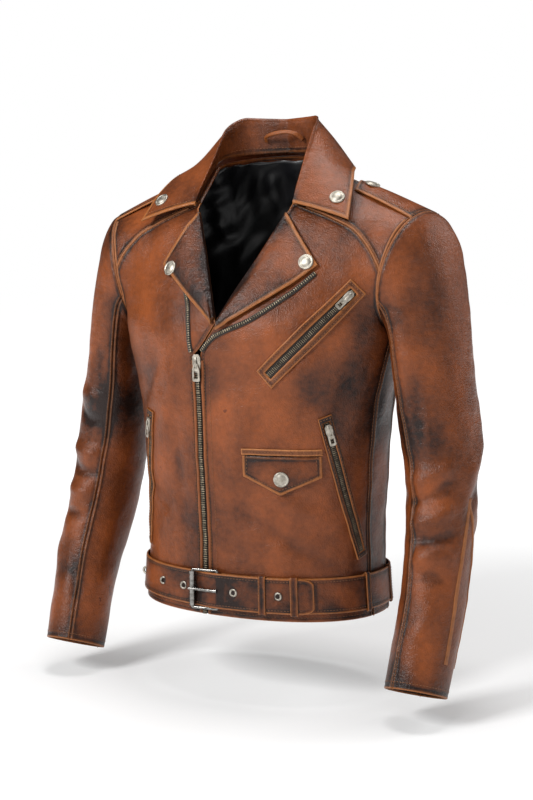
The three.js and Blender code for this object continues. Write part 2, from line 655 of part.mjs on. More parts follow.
// `along` points down the zip from the slider's top, `up` away from the leather.
function slider(name, origin, along, up, scale) {
  const across = cross(along, up);
  const half = (SLIDER_WIDTH * scale) / 2;
  const long = SLIDER_LENGTH * scale;
  const outline = [[-half, 0], [half, 0], [half * 0.72, long], [half * -0.72, long]];
  const body = plate(outline, [], CHAIN_LIFT, CHAIN_LIFT + SLIDER_THICK * scale);
  piece(name, 'metal', body, frame(origin, across, along));
}

function pull(name, origin, along, up, scale) {
  const across = cross(along, up);
  const half = SLIDER_WIDTH * scale * 0.45;
  const long = PULL_LENGTH * scale;
  const low = CHAIN_LIFT + SLIDER_THICK * scale + 0.35;
  const outline = [
    [half * -0.6, 0], [half * 0.6, 0], [half, long * 0.3], [half, long], [-half, long], [-half, long * 0.3],
  ];
  const hole = rectangle(half * -0.5, half * 0.5, long * 0.4, long * 0.84);
  const top = add(origin, along, SLIDER_LENGTH * scale * 0.5);
  piece(name, 'metal', plate(outline, [hole], low, low + PULL_THICK * scale), frame(top, across, along));
}

{
  const top = onFront(ZIP_LINE, -ZIP_TOP_DROP, 0);
  const along = unit(sub(onFront(ZIP_LINE, -ZIP_TOP_DROP - 130, 0), top));
  const up = unit(cross([-1, 0, 0], along));
  slider('main_zip_slider', top, along, up, 1);
  pull('main_zip_pull', top, along, up, 1);
}

// ---------- zipped pockets ----------
// Each lies between two points given as [x, z]; the slider is parked at the upper one.
const POCKETS = {
  chest: { upper: [169, -164], lower: [73, -271], width: 30, slot: 11 },
  side_left: { upper: [134, -330], lower: [159, -500], width: 20, slot: 9 },
  side_right: { upper: [-120, -333], lower: [-143, -503], width: 20, slot: 9 },
};

const RIDE = 1.7; // extra height of a pocket slider, which lets it run over the curve of the chest

Object.entries(POCKETS).forEach(([name, { upper, lower, width, slot }]) => {
  const a = onFront(...upper, 0);
  const b = onFront(...lower, 0);
  const middle = onFront((upper[0] + lower[0]) / 2, (upper[1] + lower[1]) / 2, 0);
  const long = size(sub(a, b)) / 2;
  const along = unit(sub(b, a));
  const up0 = unit(sub(onFront((upper[0] + lower[0]) / 2, (upper[1] + lower[1]) / 2, 5), middle));
  const across = unit(cross(along, up0));
  const lay = (lift) => (p, q) => {
    const target = add(add(middle, along, p), across, q).map((x, i) => (i === 0 ? Math.abs(x) : x));
    const flipped = middle[0] < 0;
    const [u, v] = nearest(front, target, [0.5, 0.45]);
    const place = add(front(u, v), normal(front, u, v), lift);
    return flipped ? mirror(place) : place;
  };
  const mid = slot / 2;
  const ends = [-long - 8, -long];
  const lengths = [...ends, ...steps(-long, long, 8).slice(1, -1), long, long + 8];
  const sides = [-width / 2, -mid, mid, width / 2];
  const framed = (p, q, i, j) => !(j === 1 && i > 0 && i < lengths.length - 2);
  piece(`${name}_pocket_welt`, 'trim', slab(lengths, sides, lay(2.5), lay(1.1), framed));
  const chain = slab(steps(-long + 0.5, long - 0.5, 8), [-2.6, 2.6], lay(2.1), lay(1.2));
  piece(`${name}_zip_chain`, 'zip', chain);
  const top = lay(RIDE)(-long + 2, 0);
  const next = lay(RIDE)(-long + 2 + SLIDER_LENGTH * SMALL_SLIDER, 0);
  const run = unit(sub(next, top));
  const lifted = sub(lay(3)(-long + 10, 0), lay(0)(-long + 10, 0));
  const up = unit(add(lifted, run, -dot(lifted, run)));
  slider(`${name}_zip_slider`, top, run, up, SMALL_SLIDER);
  pull(`${name}_zip_pull`, top, run, up, SMALL_SLIDER);
});

// ---------- small flapped pocket ----------
const COIN = { x: 80, half: 47, top: -372, side: 27, point: 50, band: 8 };
function coinSkin(lift) {
  return (a, b) => {
    const depth = lerp(COIN.side, COIN.point, 1 - Math.abs(a));
    return onFront(COIN.x + COIN.half * a, COIN.top - 1 - b * depth, lift + 0.5 * b);
  };
}
piece('coin_flap', 'leather', slab(steps(-1, 1, 8), steps(0, 1, 4), coinSkin(3.1), coinSkin(0.9)));
const bandSkin = (lift) => (a, b) => onFront(COIN.x + COIN.half * a, COIN.top + b * COIN.band, lift);
piece('coin_welt', 'trim', slab(steps(-1, 1, 8), [0, 1], bandSkin(2.6), bandSkin(0.8)));

// ---------- snaps ----------
const snapProfile = [
  [0, 0], [SNAP_RADIUS * 0.92, 0], [SNAP_RADIUS, SNAP_HEIGHT * 0.35], [SNAP_RADIUS * 0.9, SNAP_HEIGHT * 0.75],
  [SNAP_RADIUS * 0.5, SNAP_HEIGHT * 0.96], [0, SNAP_HEIGHT],
];

function snap(name, origin, axis) {
  piece(name, 'metal', turned(snapProfile), standing(origin, axis));
}

function frontSnap(name, x, z, lift) {
  const [p, n] = frontFrame(x, z);
  snap(name, add(p, n, lift), n);
}

frontSnap('coin_snap', COIN.x + 4, -402, 4.1);
frontSnap('lapel_snap_left', 106, -128, 6.3);
frontSnap('lapel_snap_right', -89, -138, 6.3);
SIDES.forEach(([name, side]) => {
  const skin = offsetSkin(between(foldLine, leafEdge), -0.4 - DOUBLED);
  const [p, q, r] = [skin(0.93, 0.82), skin(0.93, 0.84), skin(0.95, 0.82)];
  const out = unit(cross(sub(r, p), sub(q, p)));
  const centre = add(p, out, 0.8);
  snap(`collar_snap_${name}`, side > 0 ? centre : mirror(centre), side > 0 ? out : mirror(out));
});

// ---------- epaulettes ----------
const EPAULETTE = { inner: 0.4, outer: 0.975, innerWidth: 0.042, outerWidth: 0.062, lift: 1.6, point: 0.04 };

function epauletteSkin(side, d) {
  return (a, b) => {
    const end = b === 0 ? Math.abs(a) * EPAULETTE.point : 0;
    const u = lerp(EPAULETTE.inner, EPAULETTE.outer, b + end);
    const reach = Math.abs(a) * lerp(EPAULETTE.innerWidth, EPAULETTE.outerWidth, b);
    const p = a < 0 ? front(u, 1 - reach) : back(lerp(U_NECK, 1, u), 1 - reach * 0.8);
    const q = add(p, outward(p), EPAULETTE.lift + d);
    return side < 0 ? mirror(q) : q;
  };
}

SIDES.forEach(([name, side]) => {
  const [top, under] = [epauletteSkin(side, EPAULETTE_THICK), epauletteSkin(side, 0)];
  const strap = slab(steps(-1, 1, 8), steps(0, 1, 8), top, under);
  piece(`epaulette_${name}`, 'leather', strap);
  const base = top(0, 0.13);
  const along = sub(under(0, 0.2), under(0, 0.06));
  const up = unit(cross(along, [0, side, 0]));
  snap(`epaulette_snap_${name}`, add(base, up, 0.5), up);
});

// ---------- belt ----------
const BELT_Z = -BELT_BELOW_NECK;
const BELT_LIFT = 2.8;

// Once round the body: 0 at the middle of the front, 1 and 3 at the sides, 2 at the middle of the back.
function loop(q, z, lift) {
  const turn = ((q % 4) + 4) % 4;
  const v = (V_PIT * (z - HEM)) / (PIT - HEM);
  const [surface, u] = turn <= 1 ? [front, turn] : turn <= 3 ? [back, 2 - turn] : [front, turn - 4];
  const p = surface(u, (v * (z - HEM)) / (surface(u, v)[2] - HEM));
  const level = outward([p[0], p[1], PIT]);
  return add([p[0], p[1], z], level, lift);
}

function loopAtX(x) {
  let [low, high] = [-0.9, 0.9];
  for (let i = 0; i < 40; i += 1) {
    const half = (low + high) / 2;
    if (loop(half, BELT_Z, BELT_LIFT)[0] < x) low = half;
    else high = half;
  }
  return low;
}

const ROLLER_X = -43;
const PIVOT_X = -7;
const TIP_X = 118;
const SECOND = BELT_LIFT + BELT_THICK + 0.8; // height of the overlapping end
const BAR = 1.7; // radius of the buckle's bars
const pivotLift = BELT_LIFT + BAR + 0.6;
// How far the body falls away between the middle of the belt and its edges, at the buckle.
const edges = [-1, 1].map((k) => loop(loopAtX(PIVOT_X), BELT_Z + (k * BELT_WIDTH) / 2, BELT_LIFT)[1]);
const fallAway = Math.max(...edges) - loop(loopAtX(PIVOT_X), BELT_Z, BELT_LIFT)[1];
const OVER_PIVOT = pivotLift + BAR + 0.52 + Math.max(0, fallAway);
const OVERLAP = [-90, ROLLER_X, PIVOT_X - 6, PIVOT_X + 3, PIVOT_X + 22, TIP_X + 50];
const overlapLift = curve(OVERLAP, [BELT_LIFT, BELT_LIFT + 0.5, OVER_PIVOT, OVER_PIVOT, SECOND, SECOND]);

function beltStrap() {
  const start = loopAtX(PIVOT_X + 6);
  const round = steps(start, 4 + loopAtX(-90), 44);
  const nearRoller = [-70, ROLLER_X - 8, ROLLER_X + 4];
  const nearPivot = [-14, -5, 5, 14, 24].map((x) => PIVOT_X + x);
  const end = [...nearRoller, ...nearPivot, 40, 65, 92, TIP_X];
  const stations = [...round, ...end.map((x) => 4 + loopAtX(x))];
  const over = (q) => (q > 3.2 ? overlapLift(loop(q, BELT_Z, BELT_LIFT)[0]) : BELT_LIFT);
  const half = BELT_WIDTH / 2;
  const rows = [-1, -0.12, 0.12, 1];
  const skin = (d) => (q, h) => {
    const point = q === stations[stations.length - 1] ? 1 : 0;
    return loop(q, BELT_Z + h * half * (1 - 0.28 * point), over(q) + d);
  };
  const slot = (q, h, i, j) => !(j === 1 && i >= round.length + 3 && i < round.length + 6);
  return slab(stations, rows, skin(BELT_THICK), skin(0), slot);
}
piece('belt_strap', 'leather', beltStrap());

function band(q0, q1, inner, outer, room) {
  const high = BELT_WIDTH / 2 + room;
  const thick = 1.6;
  const behind = 0.8;
  const ring = [[high, inner], [high, outer], [0, outer], [-high, outer], [-high, inner], [0, inner]];
  const skin = (d) => (k, q) => {
    const [h, lift] = ring[k];
    return loop(q, BELT_Z + h + Math.sign(h) * d, lift + (lift > inner ? d : (-d * behind) / thick));
  };
  return slab([0, 1, 2, 3, 4, 5], steps(q0, q1, 2), skin(thick), skin(0), () => true, true);
}

const LOOP_IN = BELT_LIFT - 1.2;
[['inner', 58], ['outer', 96]].forEach(([name, x]) => {
  const wide = 0.017;
  const q = loopAtX(x);
  piece(`belt_keeper_${name}`, 'trim', band(q - wide, q + wide, LOOP_IN, SECOND + BELT_THICK + 0.5, 0.7));
});
[['front_left', 0.8], ['side_left', 1.12], ['side_right', 2.88], ['back', 2]].forEach(([name, q]) => {
  piece(`belt_loop_${name}`, 'trim', band(q - 0.018, q + 0.018, LOOP_IN, BELT_LIFT + BELT_THICK + 0.6, 1));
});

// ---------- buckle ----------
const ROLLER = 3.6;
const FRAME_HALF = BELT_WIDTH / 2 + 2.2; // middle of the frame's arms above and below the strap
const rollerLift = BELT_LIFT + 0.5 + BELT_THICK + ROLLER + 1.2;
const pivot = loop(loopAtX(PIVOT_X), BELT_Z, pivotLift);
const rollerAt = loop(loopAtX(ROLLER_X), BELT_Z, rollerLift);
const reach = sub(rollerAt, pivot);
const buckleX = unit([-reach[0], -reach[1], 0]);
const span = Math.hypot(reach[0], reach[1]);

{
  const outer = rectangle(-span - BAR, BAR, -FRAME_HALF - BAR, FRAME_HALF + BAR);
  const hole = rectangle(-span + BAR, -BAR, -FRAME_HALF + BAR, FRAME_HALF - BAR);
  piece('buckle_frame', 'metal', plate(outer, [hole], -BAR, BAR), frame(pivot, buckleX, [0, 0, 1]));
  const half = FRAME_HALF - BAR - 0.4;
  const bore = BAR * Math.SQRT2 + 0.3;
  const profile = [[bore, -half], [ROLLER, -half], [ROLLER, half], [bore, half], [bore, -half]];
  piece('buckle_roller', 'metal', turned(profile, 12), frame(rollerAt, [1, 0, 0], [0, 0, 1]));
  const outwardY = cross(buckleX, [0, 0, 1]);
  const toRoller = dot(sub(rollerAt, pivot), outwardY);
  const clear = BAR * Math.SQRT2 + 0.15; // the bar is square, and the prong turns round it
  const lay = [
    [-2.2, clear], [1.6, clear], [1.6, OVER_PIVOT + BELT_THICK - pivotLift + 3.4],
    [-span - 4, toRoller + ROLLER + 3], [-span - 4, toRoller + ROLLER + 0.5],
    [-2.2, OVER_PIVOT + BELT_THICK - pivotLift + 1],
  ];
  const place = frame(pivot, buckleX, outwardY);
  piece('buckle_prong', 'metal', plate(lay, [], -1.8, 1.8), place);
}

export default jacket;
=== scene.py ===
"""A burnished leather riding jacket, standing as if worn, for the frame that CAD made.

All shapes are worked out in millimetres on one form of the body, then written as meshes in metres.
+X is the wearer's left, -Y the front and +Z up. The origin is the middle of the neck base.
"""
import logging
import math
from dataclasses import dataclass
from enum import Enum
from typing import Callable, Sequence

import bpy
import numpy as np
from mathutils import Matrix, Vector


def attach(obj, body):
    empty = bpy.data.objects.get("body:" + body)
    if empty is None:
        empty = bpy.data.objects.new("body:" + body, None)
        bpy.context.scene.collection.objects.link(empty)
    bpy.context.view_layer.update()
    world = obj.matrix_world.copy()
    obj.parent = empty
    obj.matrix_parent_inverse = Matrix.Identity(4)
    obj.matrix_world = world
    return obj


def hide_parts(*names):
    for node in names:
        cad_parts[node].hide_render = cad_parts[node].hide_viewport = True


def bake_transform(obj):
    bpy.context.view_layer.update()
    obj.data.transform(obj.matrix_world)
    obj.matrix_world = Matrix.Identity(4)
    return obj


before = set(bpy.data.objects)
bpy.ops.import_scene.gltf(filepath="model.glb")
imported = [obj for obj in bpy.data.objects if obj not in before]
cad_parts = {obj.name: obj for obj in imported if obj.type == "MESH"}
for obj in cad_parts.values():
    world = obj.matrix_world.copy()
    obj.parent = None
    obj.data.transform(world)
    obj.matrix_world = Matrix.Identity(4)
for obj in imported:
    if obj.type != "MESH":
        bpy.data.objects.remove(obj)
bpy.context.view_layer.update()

logging.basicConfig(level=logging.INFO, format="%(message)s")
log = logging.getLogger("jacket")
MM = 0.001
SIDES = {"left": 1, "right": -1}
Array = np.ndarray


# ---------- small numeric helpers ----------
def smooth(t: Array) -> Array:
    """Eased 0 to 1."""
    t = np.clip(t, 0.0, 1.0)
    return t * t * (3 - 2 * t)


def lerp(a, b, t):
    """The value a share t of the way from a to b."""
    return a + (b - a) * t


def bump(d: Array, width: float) -> Array:
    """A soft bell of height 1 and this half width."""
    return np.exp(-((d / width) ** 2))


def unit(a: Array) -> Array:
    """Vectors of length 1."""
    return a / np.maximum(np.linalg.norm(a, axis=-1, keepdims=True), 1e-9)


def vec(*values: float) -> Array:
    """A float array of the values."""
    return np.array(values, float)


def mirrored(points: Array, side: int) -> Array:
    """Points with x turned to the given side."""
    return points * vec(side, 1, 1)


def graded(length: float, pitch: float, near: Sequence[float], far: Sequence[float]) -> Array:
    """Shares of a length, close together near its ends.

    Args:
        length: the length in millimetres.
        pitch: the step between shares away from the ends, in millimetres.
        near: extra places, in millimetres from the start.
        far: extra places, in millimetres from the end.

    Returns:
        Shares from 0 to 1, rising.
    """
    start = max(near) if len(near) else 0.0
    stop = length - (max(far) if len(far) else 0.0)
    middle = np.linspace(start, stop, max(2, int((stop - start) / pitch) + 1))
    places = sorted({0.0, length, *near, *(length - f for f in far), *middle.tolist()})
    kept = [places[0]]
    for place in places[1:]:
        if place - kept[-1] > 0.25:
            kept.append(place)
    kept[-1] = length
    return np.array(kept) / length


EDGE = (0.5, 1.1, 1.8, 2.7, 3.6, 4.5, 5.6, 7.0)
STITCH_IN = 3.6  # a seam's stitches from its edge


class Table:
    """A smooth curve through a few values, or points, that never overshoots them."""

    def __init__(self, xs: Sequence[float], ys: Sequence) -> None:
        """Prepare the slopes at each value."""
        self.xs = np.array(xs, float)
        self.ys = np.array(ys, float)
        width = np.diff(self.xs).reshape((-1,) + (1,) * (self.ys.ndim - 1))
        rise = np.diff(self.ys, axis=0) / width
        slope = np.empty_like(self.ys)
        slope[0], slope[-1] = rise[0], rise[-1]
        product = rise[:-1] * rise[1:]
        total = rise[:-1] + rise[1:]
        total = np.where(np.abs(total) < 1e-12, 1.0, total)
        slope[1:-1] = np.where(product <= 0, 0.0, 2 * product / total)
        self.slope = slope

    def __call__(self, x) -> Array:
        """The curve at x, which may be an array."""
        x = np.asarray(x, float)
        k = np.clip(np.searchsorted(self.xs, x, side="right") - 1, 0, len(self.xs) - 2)
        h = self.xs[k + 1] - self.xs[k]
        t = np.clip((x - self.xs[k]) / h, 0, 1)
        if self.ys.ndim > 1:
            h, t = h[..., None], t[..., None]
        value = self.ys[k] * (1 + 2 * t) * (1 - t) ** 2 + self.ys[k + 1] * t * t * (3 - 2 * t)
        return value + self.slope[k] * h * t * (1 - t) ** 2 + self.slope[k + 1] * h * t * t * (t - 1)


# ---------- the body's form ----------
@dataclass(frozen=True)
class Sizes:
    """The sizes that the CAD model is driven by, in millimetres."""

    body_length: float = 588
    chest_half_width: float = 195
    waist_half_width: float = 166
    chest_half_depth: float = 138
    back_half_depth: float = 132
    shoulder_half_width: float = 229
    shoulder_drop: float = 67
    armpit_drop: float = 222
    armhole_half_depth: float = 73
    armhole_turn: float = 14
    neck_half_width: float = 72
    break_drop: float = 206
    sleeve_drop: float = 440
    sleeve_spread: float = 60
    sleeve_forward: float = 91
    cuff_half_width: float = 39
    cuff_half_depth: float = 44
    collar_rise: float = 60
    leather: float = 1.5
    belt_width: float = 46
    belt_below_neck: float = 553
    belt_lift: float = 2.8
    belt_thick: float = 2.4
    zip_line: float = -28
    zip_top: float = -246
    chain_width: float = 7


S = Sizes()
HEM, PIT, BREAK = -S.body_length, -S.armpit_drop, -S.break_drop
V_PIT, V_BREAK, V_GORGE = 0.6, 0.61, 0.852
SIDE_SEAM = 0.86
U_NECK = 0.36
BACK_YOKE = 0.84
TURN = math.radians(S.armhole_turn)
NECK = vec(S.neck_half_width, 4, 0)
TIP = vec(S.shoulder_half_width, 3, -S.shoulder_drop)
ARMPIT = vec(S.chest_half_width + 1.5, 4, PIT)
GORGE = vec(S.neck_half_width - 4, -64, -60)
BACK_NECK = vec(0, 0.47 * S.back_half_depth, 14)
BACKWARD = vec(math.sin(TURN), math.cos(TURN), 0)
ARMHOLE_MIDDLE = (ARMPIT + TIP) / 2
BELT_Z = -S.belt_below_neck


@dataclass(frozen=True)
class Fold:
    """A ridge, or a crease where its height is negative, along a line between two points.

    The points are [x, y, z]; a y of None measures only across x and z, as on the front.
    """

    start: tuple
    end: tuple
    height: float
    width: float
    bow: float = 0.0

    def at(self, p: Array) -> Array:
        """The fold's height at each point."""
        keep = [0, 2] if self.start[1] is None else [0, 1, 2]
        a = np.array([self.start[i] for i in keep], float)
        b = np.array([self.end[i] for i in keep], float)
        q = p[..., keep]
        along = b - a
        t = np.clip(((q - a) @ along) / (along @ along), 0, 1)
        sag = vec(*([0] * (len(keep) - 1)), 1) * self.bow
        line = a + t[..., None] * along + (4 * t * (1 - t))[..., None] * sag
        d = np.linalg.norm(q - line, axis=-1)
        return 1.15 * self.height * bump(d, 0.82 * self.width) * (0.25 + 0.75 * np.sin(np.pi * t) ** 0.7)


def ripple(p: Array, length: float, seed: int, count: int = 7) -> Array:
    """Smooth uneven waves, from about -1 to 1, with this wave length in millimetres."""
    rng = np.random.default_rng(seed)
    total = np.zeros(p.shape[:-1])
    for _ in range(count):
        way = unit(rng.normal(size=3))
        total += np.sin(p @ way * (2 * np.pi / (length * rng.uniform(0.7, 1.5))) + rng.uniform(0, 6.28))
    return total / math.sqrt(count)


class JacketForm:
    """The surfaces that every piece of the jacket is laid on."""

    def __init__(self) -> None:
        """Set up the level curves of the torso and the lines of the sleeve and collar."""
        levels = [lerp(HEM, PIT, t) for t in (0, 0.13, 0.32, 0.51, 0.73, 1)]
        widths = [k * S.waist_half_width for k in (1.036, 1.012, 0.994, 1.012, 1.054)]
        depths = [k * S.chest_half_depth for k in (0.862, 0.851, 0.865, 0.903, 0.947, 1)]
        self.half_width = Table(levels, [*widths, S.chest_half_width])
        self.half_depth = Table(levels, depths)
        backs = [k * S.back_half_depth for k in (0.856, 0.833, 0.894, 1, 0.97, 0.682, 0.47)]
        heights = [HEM, 0.85 * HEM, 0.646 * HEM, 0.425 * HEM, 0.204 * HEM, -30, 14]
        self.back_depth = Table(heights, backs)
        self.yoke = Table([0, 0.5, 1], [0.872, 0.862, 0.805])
        self.gap = Table([S.zip_top, S.zip_top + 14], [S.chain_width / 2 + 1.2, 1])
        self.outer, self.inner, self.depth = self._sleeve_lines()
        self.neck_seam, self.fold_line, self.leaf_edge = self._collar_lines()
        self.torso_folds = TORSO_FOLDS
        self.sleeve_folds = SLEEVE_FOLDS

    @staticmethod
    def _sleeve_lines() -> tuple:
        """The outer line, inner line and half depth of a sleeve."""
        rows = [0, 0.06, 0.12, 0.2, 0.3, 0.42, 0.55, 0.7, 0.85, 1]

        def low(share: float) -> float:
            return PIT - share * S.sleeve_drop

        middle = ARMPIT[0] + S.sleeve_spread
        cuff_y = 3 - S.sleeve_forward
        outer = Table(rows, [
            TIP, (TIP[0] + 12, 3, TIP[2] - 7), (TIP[0] + 23, 4, TIP[2] - 23), (TIP[0] + 33, 5, TIP[2] - 61),
            (TIP[0] + 43, 6, low(-0.073)), (middle + 26, 9, low(0.098)), (middle + 37, 9, low(0.28)),
            (middle + 44, -6, low(0.495)), (middle + 45, -46, low(0.75)),
            (middle + S.cuff_half_width, cuff_y, low(1)),
        ])
        a = ARMPIT[0]
        inner = Table(rows, [
            ARMPIT, (a + 2, 3, PIT - 7), (a + 3, 4, PIT - 14), (a + 3, 5, PIT - 26), (a + 2, 6, low(0.12)),
            (a + 1, 9, low(0.211)), (a + 7, 9, low(0.348)), (a + 15, -6, low(0.53)), (a + 24, -46, low(0.76)),
            (middle - S.cuff_half_width, cuff_y, low(1)),
        ])
        deep = [k * S.armhole_half_depth for k in (1, 1.014, 1, 0.973, 0.945, 0.904, 0.836, 0.753)]
        return outer, inner, Table(rows, [*deep, 1.11 * S.cuff_half_depth, S.cuff_half_depth])

    @staticmethod
    def _collar_lines() -> tuple:
        """The collar's neck seam, its fold and its outer edge, for w from 0 to 1."""
        ws = [0, 0.3, 0.5, 0.7, 0.85, 1]
        rise = S.collar_rise
        seam = [(0, 66, 15), (48, 48, 13), (72, 7, 4), (75, -20, -15), (74, -44, -38), (71, -64, -56)]
        fold = [(0, 58, rise), (50, 42, rise + 2), (64, 12, rise - 14),
                (68, -20, 6), (71, -46, -28), (72, -66, -54)]
        edge = [(0, 104, -16), (80, 80, -14), (114, 36, -8), (130, -2, -13), (143, -36, -37), (153, -70, -76)]
        return Table(ws, seam), Table(ws, fold), Table(ws, edge)

    # torso
    def _armhole(self, t: Array, side: int) -> Array:
        """The armhole's edge: t from the armpit to the shoulder, side -1 in front and 1 behind."""
        up = TIP - ARMHOLE_MIDDLE
        level = ARMHOLE_MIDDLE - np.cos(np.pi * t)[..., None] * up
        return level + (side * np.sin(np.pi * t) * S.armhole_half_depth)[..., None] * BACKWARD

    def _edge(self, v: Array, side: int) -> Array:
        """The side seam below the armpit and the armhole above it."""
        z = lerp(HEM, PIT, np.clip(v / V_PIT, 0, 1))
        low = np.stack([self.half_width(z) + 1.5 * smooth((z - PIT + 60) / 60), np.full_like(z, 3.0), z], -1)
        high = self._armhole(np.clip((v - V_PIT) / (1 - V_PIT), 0, 1), side)
        return np.where((v > V_PIT)[..., None], high, low)

    def _front_middle(self, v: Array) -> Array:
        """The front's middle line, then the roll of the lapel, then the neck."""
        z = lerp(HEM, BREAK, np.clip(v / V_BREAK, 0, 1))
        low = np.stack([np.zeros_like(z), -self.half_depth(z), z], -1)
        start = vec(0, -float(self.half_depth(BREAK)), BREAK)
        roll = lerp(start, GORGE, np.clip((v - V_BREAK) / (V_GORGE - V_BREAK), 0, 1)[..., None])
        neck = lerp(GORGE, NECK, np.clip((v - V_GORGE) / (1 - V_GORGE), 0, 1)[..., None])
        upper = np.where((v > V_GORGE)[..., None], neck, roll)
        return np.where((v > V_BREAK)[..., None], upper, low)

    def _back_middle(self, v: Array) -> Array:
        """The back's middle line."""
        z = lerp(HEM, BACK_NECK[2], v)
        return np.stack([np.zeros_like(z), self.back_depth(z), z], -1)

    @staticmethod
    def _row(u: Array, v: Array, start: Array, end: Array) -> Array:
        """A rounded line across one level of the body."""
        angle = np.abs(u) * np.pi / 2
        n = 2.25
        r = (np.abs(np.cos(angle)) ** n + np.abs(np.sin(angle)) ** n) ** (-1 / n)
        straight = smooth((v - 0.62) / 0.38)
        across = lerp(np.sin(angle) * r, np.abs(u), straight)
        along = lerp(1 - np.cos(angle) * r, np.abs(u), straight)
        share = np.stack([across, along, (across + along) / 2], -1)
        p = lerp(start, end, share)
        p[..., 0] *= np.where(u < 0, -1, 1)
        return p

    def _exact_front(self, u: Array, v: Array) -> Array:
        """The front as the CAD model has it."""
        return self._row(u, v, self._front_middle(v), self._edge(v, -1))

    def front(self, u, v) -> Array:
        """The front, with the bend at the chest eased away from the armhole."""
        u, v = np.broadcast_arrays(np.asarray(u, float), np.asarray(v, float))
        exact = self._exact_front(u, v)
        reach = np.minimum(0.034, np.minimum(v, 1 - v))
        eased = np.zeros_like(exact)
        for step, weight in ((-1, 0.16), (-0.5, 0.22), (0, 0.24), (0.5, 0.22), (1, 0.16)):
            eased += weight * self._exact_front(u, v + step * reach)
        keep = smooth((np.abs(u) - 0.7) / 0.28)[..., None]
        near_roll = 1 - smooth(np.abs(u) / 0.06)[..., None] * 1.0
        keep = np.maximum(keep, near_roll)
        return lerp(eased, exact, keep)

    def back(self, u, v) -> Array:
        """The back, whose top follows the neck and then the shoulder."""
        u, v = np.broadcast_arrays(np.asarray(u, float), np.asarray(v, float))
        a = np.abs(u)
        p = self._row(a, v, self._back_middle(v), self._edge(v, 1))
        one = np.ones_like(a)
        turn = np.clip(a / U_NECK, 0, 1) * np.pi / 2
        around = np.stack([
            NECK[0] * np.sin(turn), lerp(NECK[1], BACK_NECK[1], np.cos(turn)), BACK_NECK[2] * np.cos(turn),
        ], -1)
        shoulder = lerp(NECK, TIP, np.clip((a - U_NECK) / (1 - U_NECK), 0, 1)[..., None])
        top = np.where((a < U_NECK)[..., None], around, shoulder)
        lift = top - self._row(a, one, self._back_middle(one), self._edge(one, 1))
        p = p + lift * smooth((v - 0.72) / 0.28)[..., None]
        p[..., 0] *= np.where(u < 0, -1, 1)
        return p

    def around(self, q, v) -> Array:
        """Round the left side: q below 1 is the front and above 1 the back."""
        q, v = np.broadcast_arrays(np.asarray(q, float), np.asarray(v, float))
        front, back = self.front(np.minimum(q, 1), v), self.back(np.minimum(2 - q, 1), v)
        return np.where((q <= 1)[..., None], front, back)

    @staticmethod
    def outward(p: Array) -> Array:
        """Away from the middle of the body; every panel shares this direction."""
        up = smooth((p[..., 2] - PIT) / -PIT)
        reach = lerp(60, 120, up)
        level = np.where(p[..., 2] <= PIT, p[..., 2], lerp(PIT, p[..., 2], 0.55))
        x = p[..., 0] - np.clip(p[..., 0], -reach, reach)
        return unit(np.stack([x, p[..., 1], p[..., 2] - level], -1))

    def meeting_u(self, v: Array, side: int) -> Array:
        """The u at which a front ends: beside the zip, then at the roll of the lapel."""
        z = self._front_middle(v)[..., 2]
        t = np.clip((z - S.zip_top) / (BREAK - S.zip_top), 0, 1)
        target = lerp(S.zip_line, 0, t) + side * self.gap(np.clip(z, S.zip_top, S.zip_top + 14))
        low, high = np.full_like(v, -0.4), np.full_like(v, 0.4)
        for _ in range(30):
            half = (low + high) / 2
            under = self.front(half, v)[..., 0] < target
            low, high = np.where(under, half, low), np.where(under, high, half)
        return np.where(v > V_BREAK - 0.002, 0.0, low * side)

    def find_front(self, x: Array, z: Array) -> tuple[Array, Array]:
        """The u and v of the place on the left front with this x (0 or more) and z."""
        u = np.clip(x / 190, 0.02, 0.95)
        v = np.clip((z - HEM) / (18 - HEM), 0.01, 0.9)
        h = 1e-3
        for _ in range(30):
            p = self.front(u, v)
            du, dv = self.front(u + h, v) - p, self.front(u, v + h) - p
            k = du[..., 0] * dv[..., 2] - dv[..., 0] * du[..., 2]
            k = np.where(np.abs(k) < 1e-9, 1e-9, k)
            e, f = x - p[..., 0], z - p[..., 2]
            u = np.clip(u + np.clip((e * dv[..., 2] - f * dv[..., 0]) / k * h, -0.08, 0.08), 0, 0.97)
            v = np.clip(v + np.clip((f * du[..., 0] - e * du[..., 2]) / k * h, -0.08, 0.08), 0.002, 0.985)
        return u, v

    def on_front(self, x, z, lift=0.0) -> Array:
        """Points of the folded front at this x and z, raised by lift.

        Args:
            x: across, positive on the wearer's left.
            z: height.
            lift: distance off the leather.

        Returns:
            Points in millimetres.
        """
        x, z, lift = np.broadcast_arrays(*(np.asarray(a, float) for a in (x, z, lift)))
        side = np.where(x < 0, -1, 1)
        u, v = self.find_front(np.abs(x), z)
        p = self.front(u, v)
        n = surface_normal(self.front, u, v)
        p[..., 0] *= side
        n[..., 0] *= side
        return p + n * (lift + self.torso_fold(p))[..., None]

    def torso_fold(self, p: Array) -> Array:
        """How far the torso's folds lift the leather at each point."""
        total = sum(f.at(p) for f in self.torso_folds)
        fade = smooth((p[..., 2] - HEM - 14) / 40) * smooth((-p[..., 2] - 20) / 60)
        uneven = 0.9 * ripple(p * vec(1, 1, 0.55), 95, 3) + 0.35 * ripple(p, 38, 4)
        return 1.3 * fade * (total + uneven)

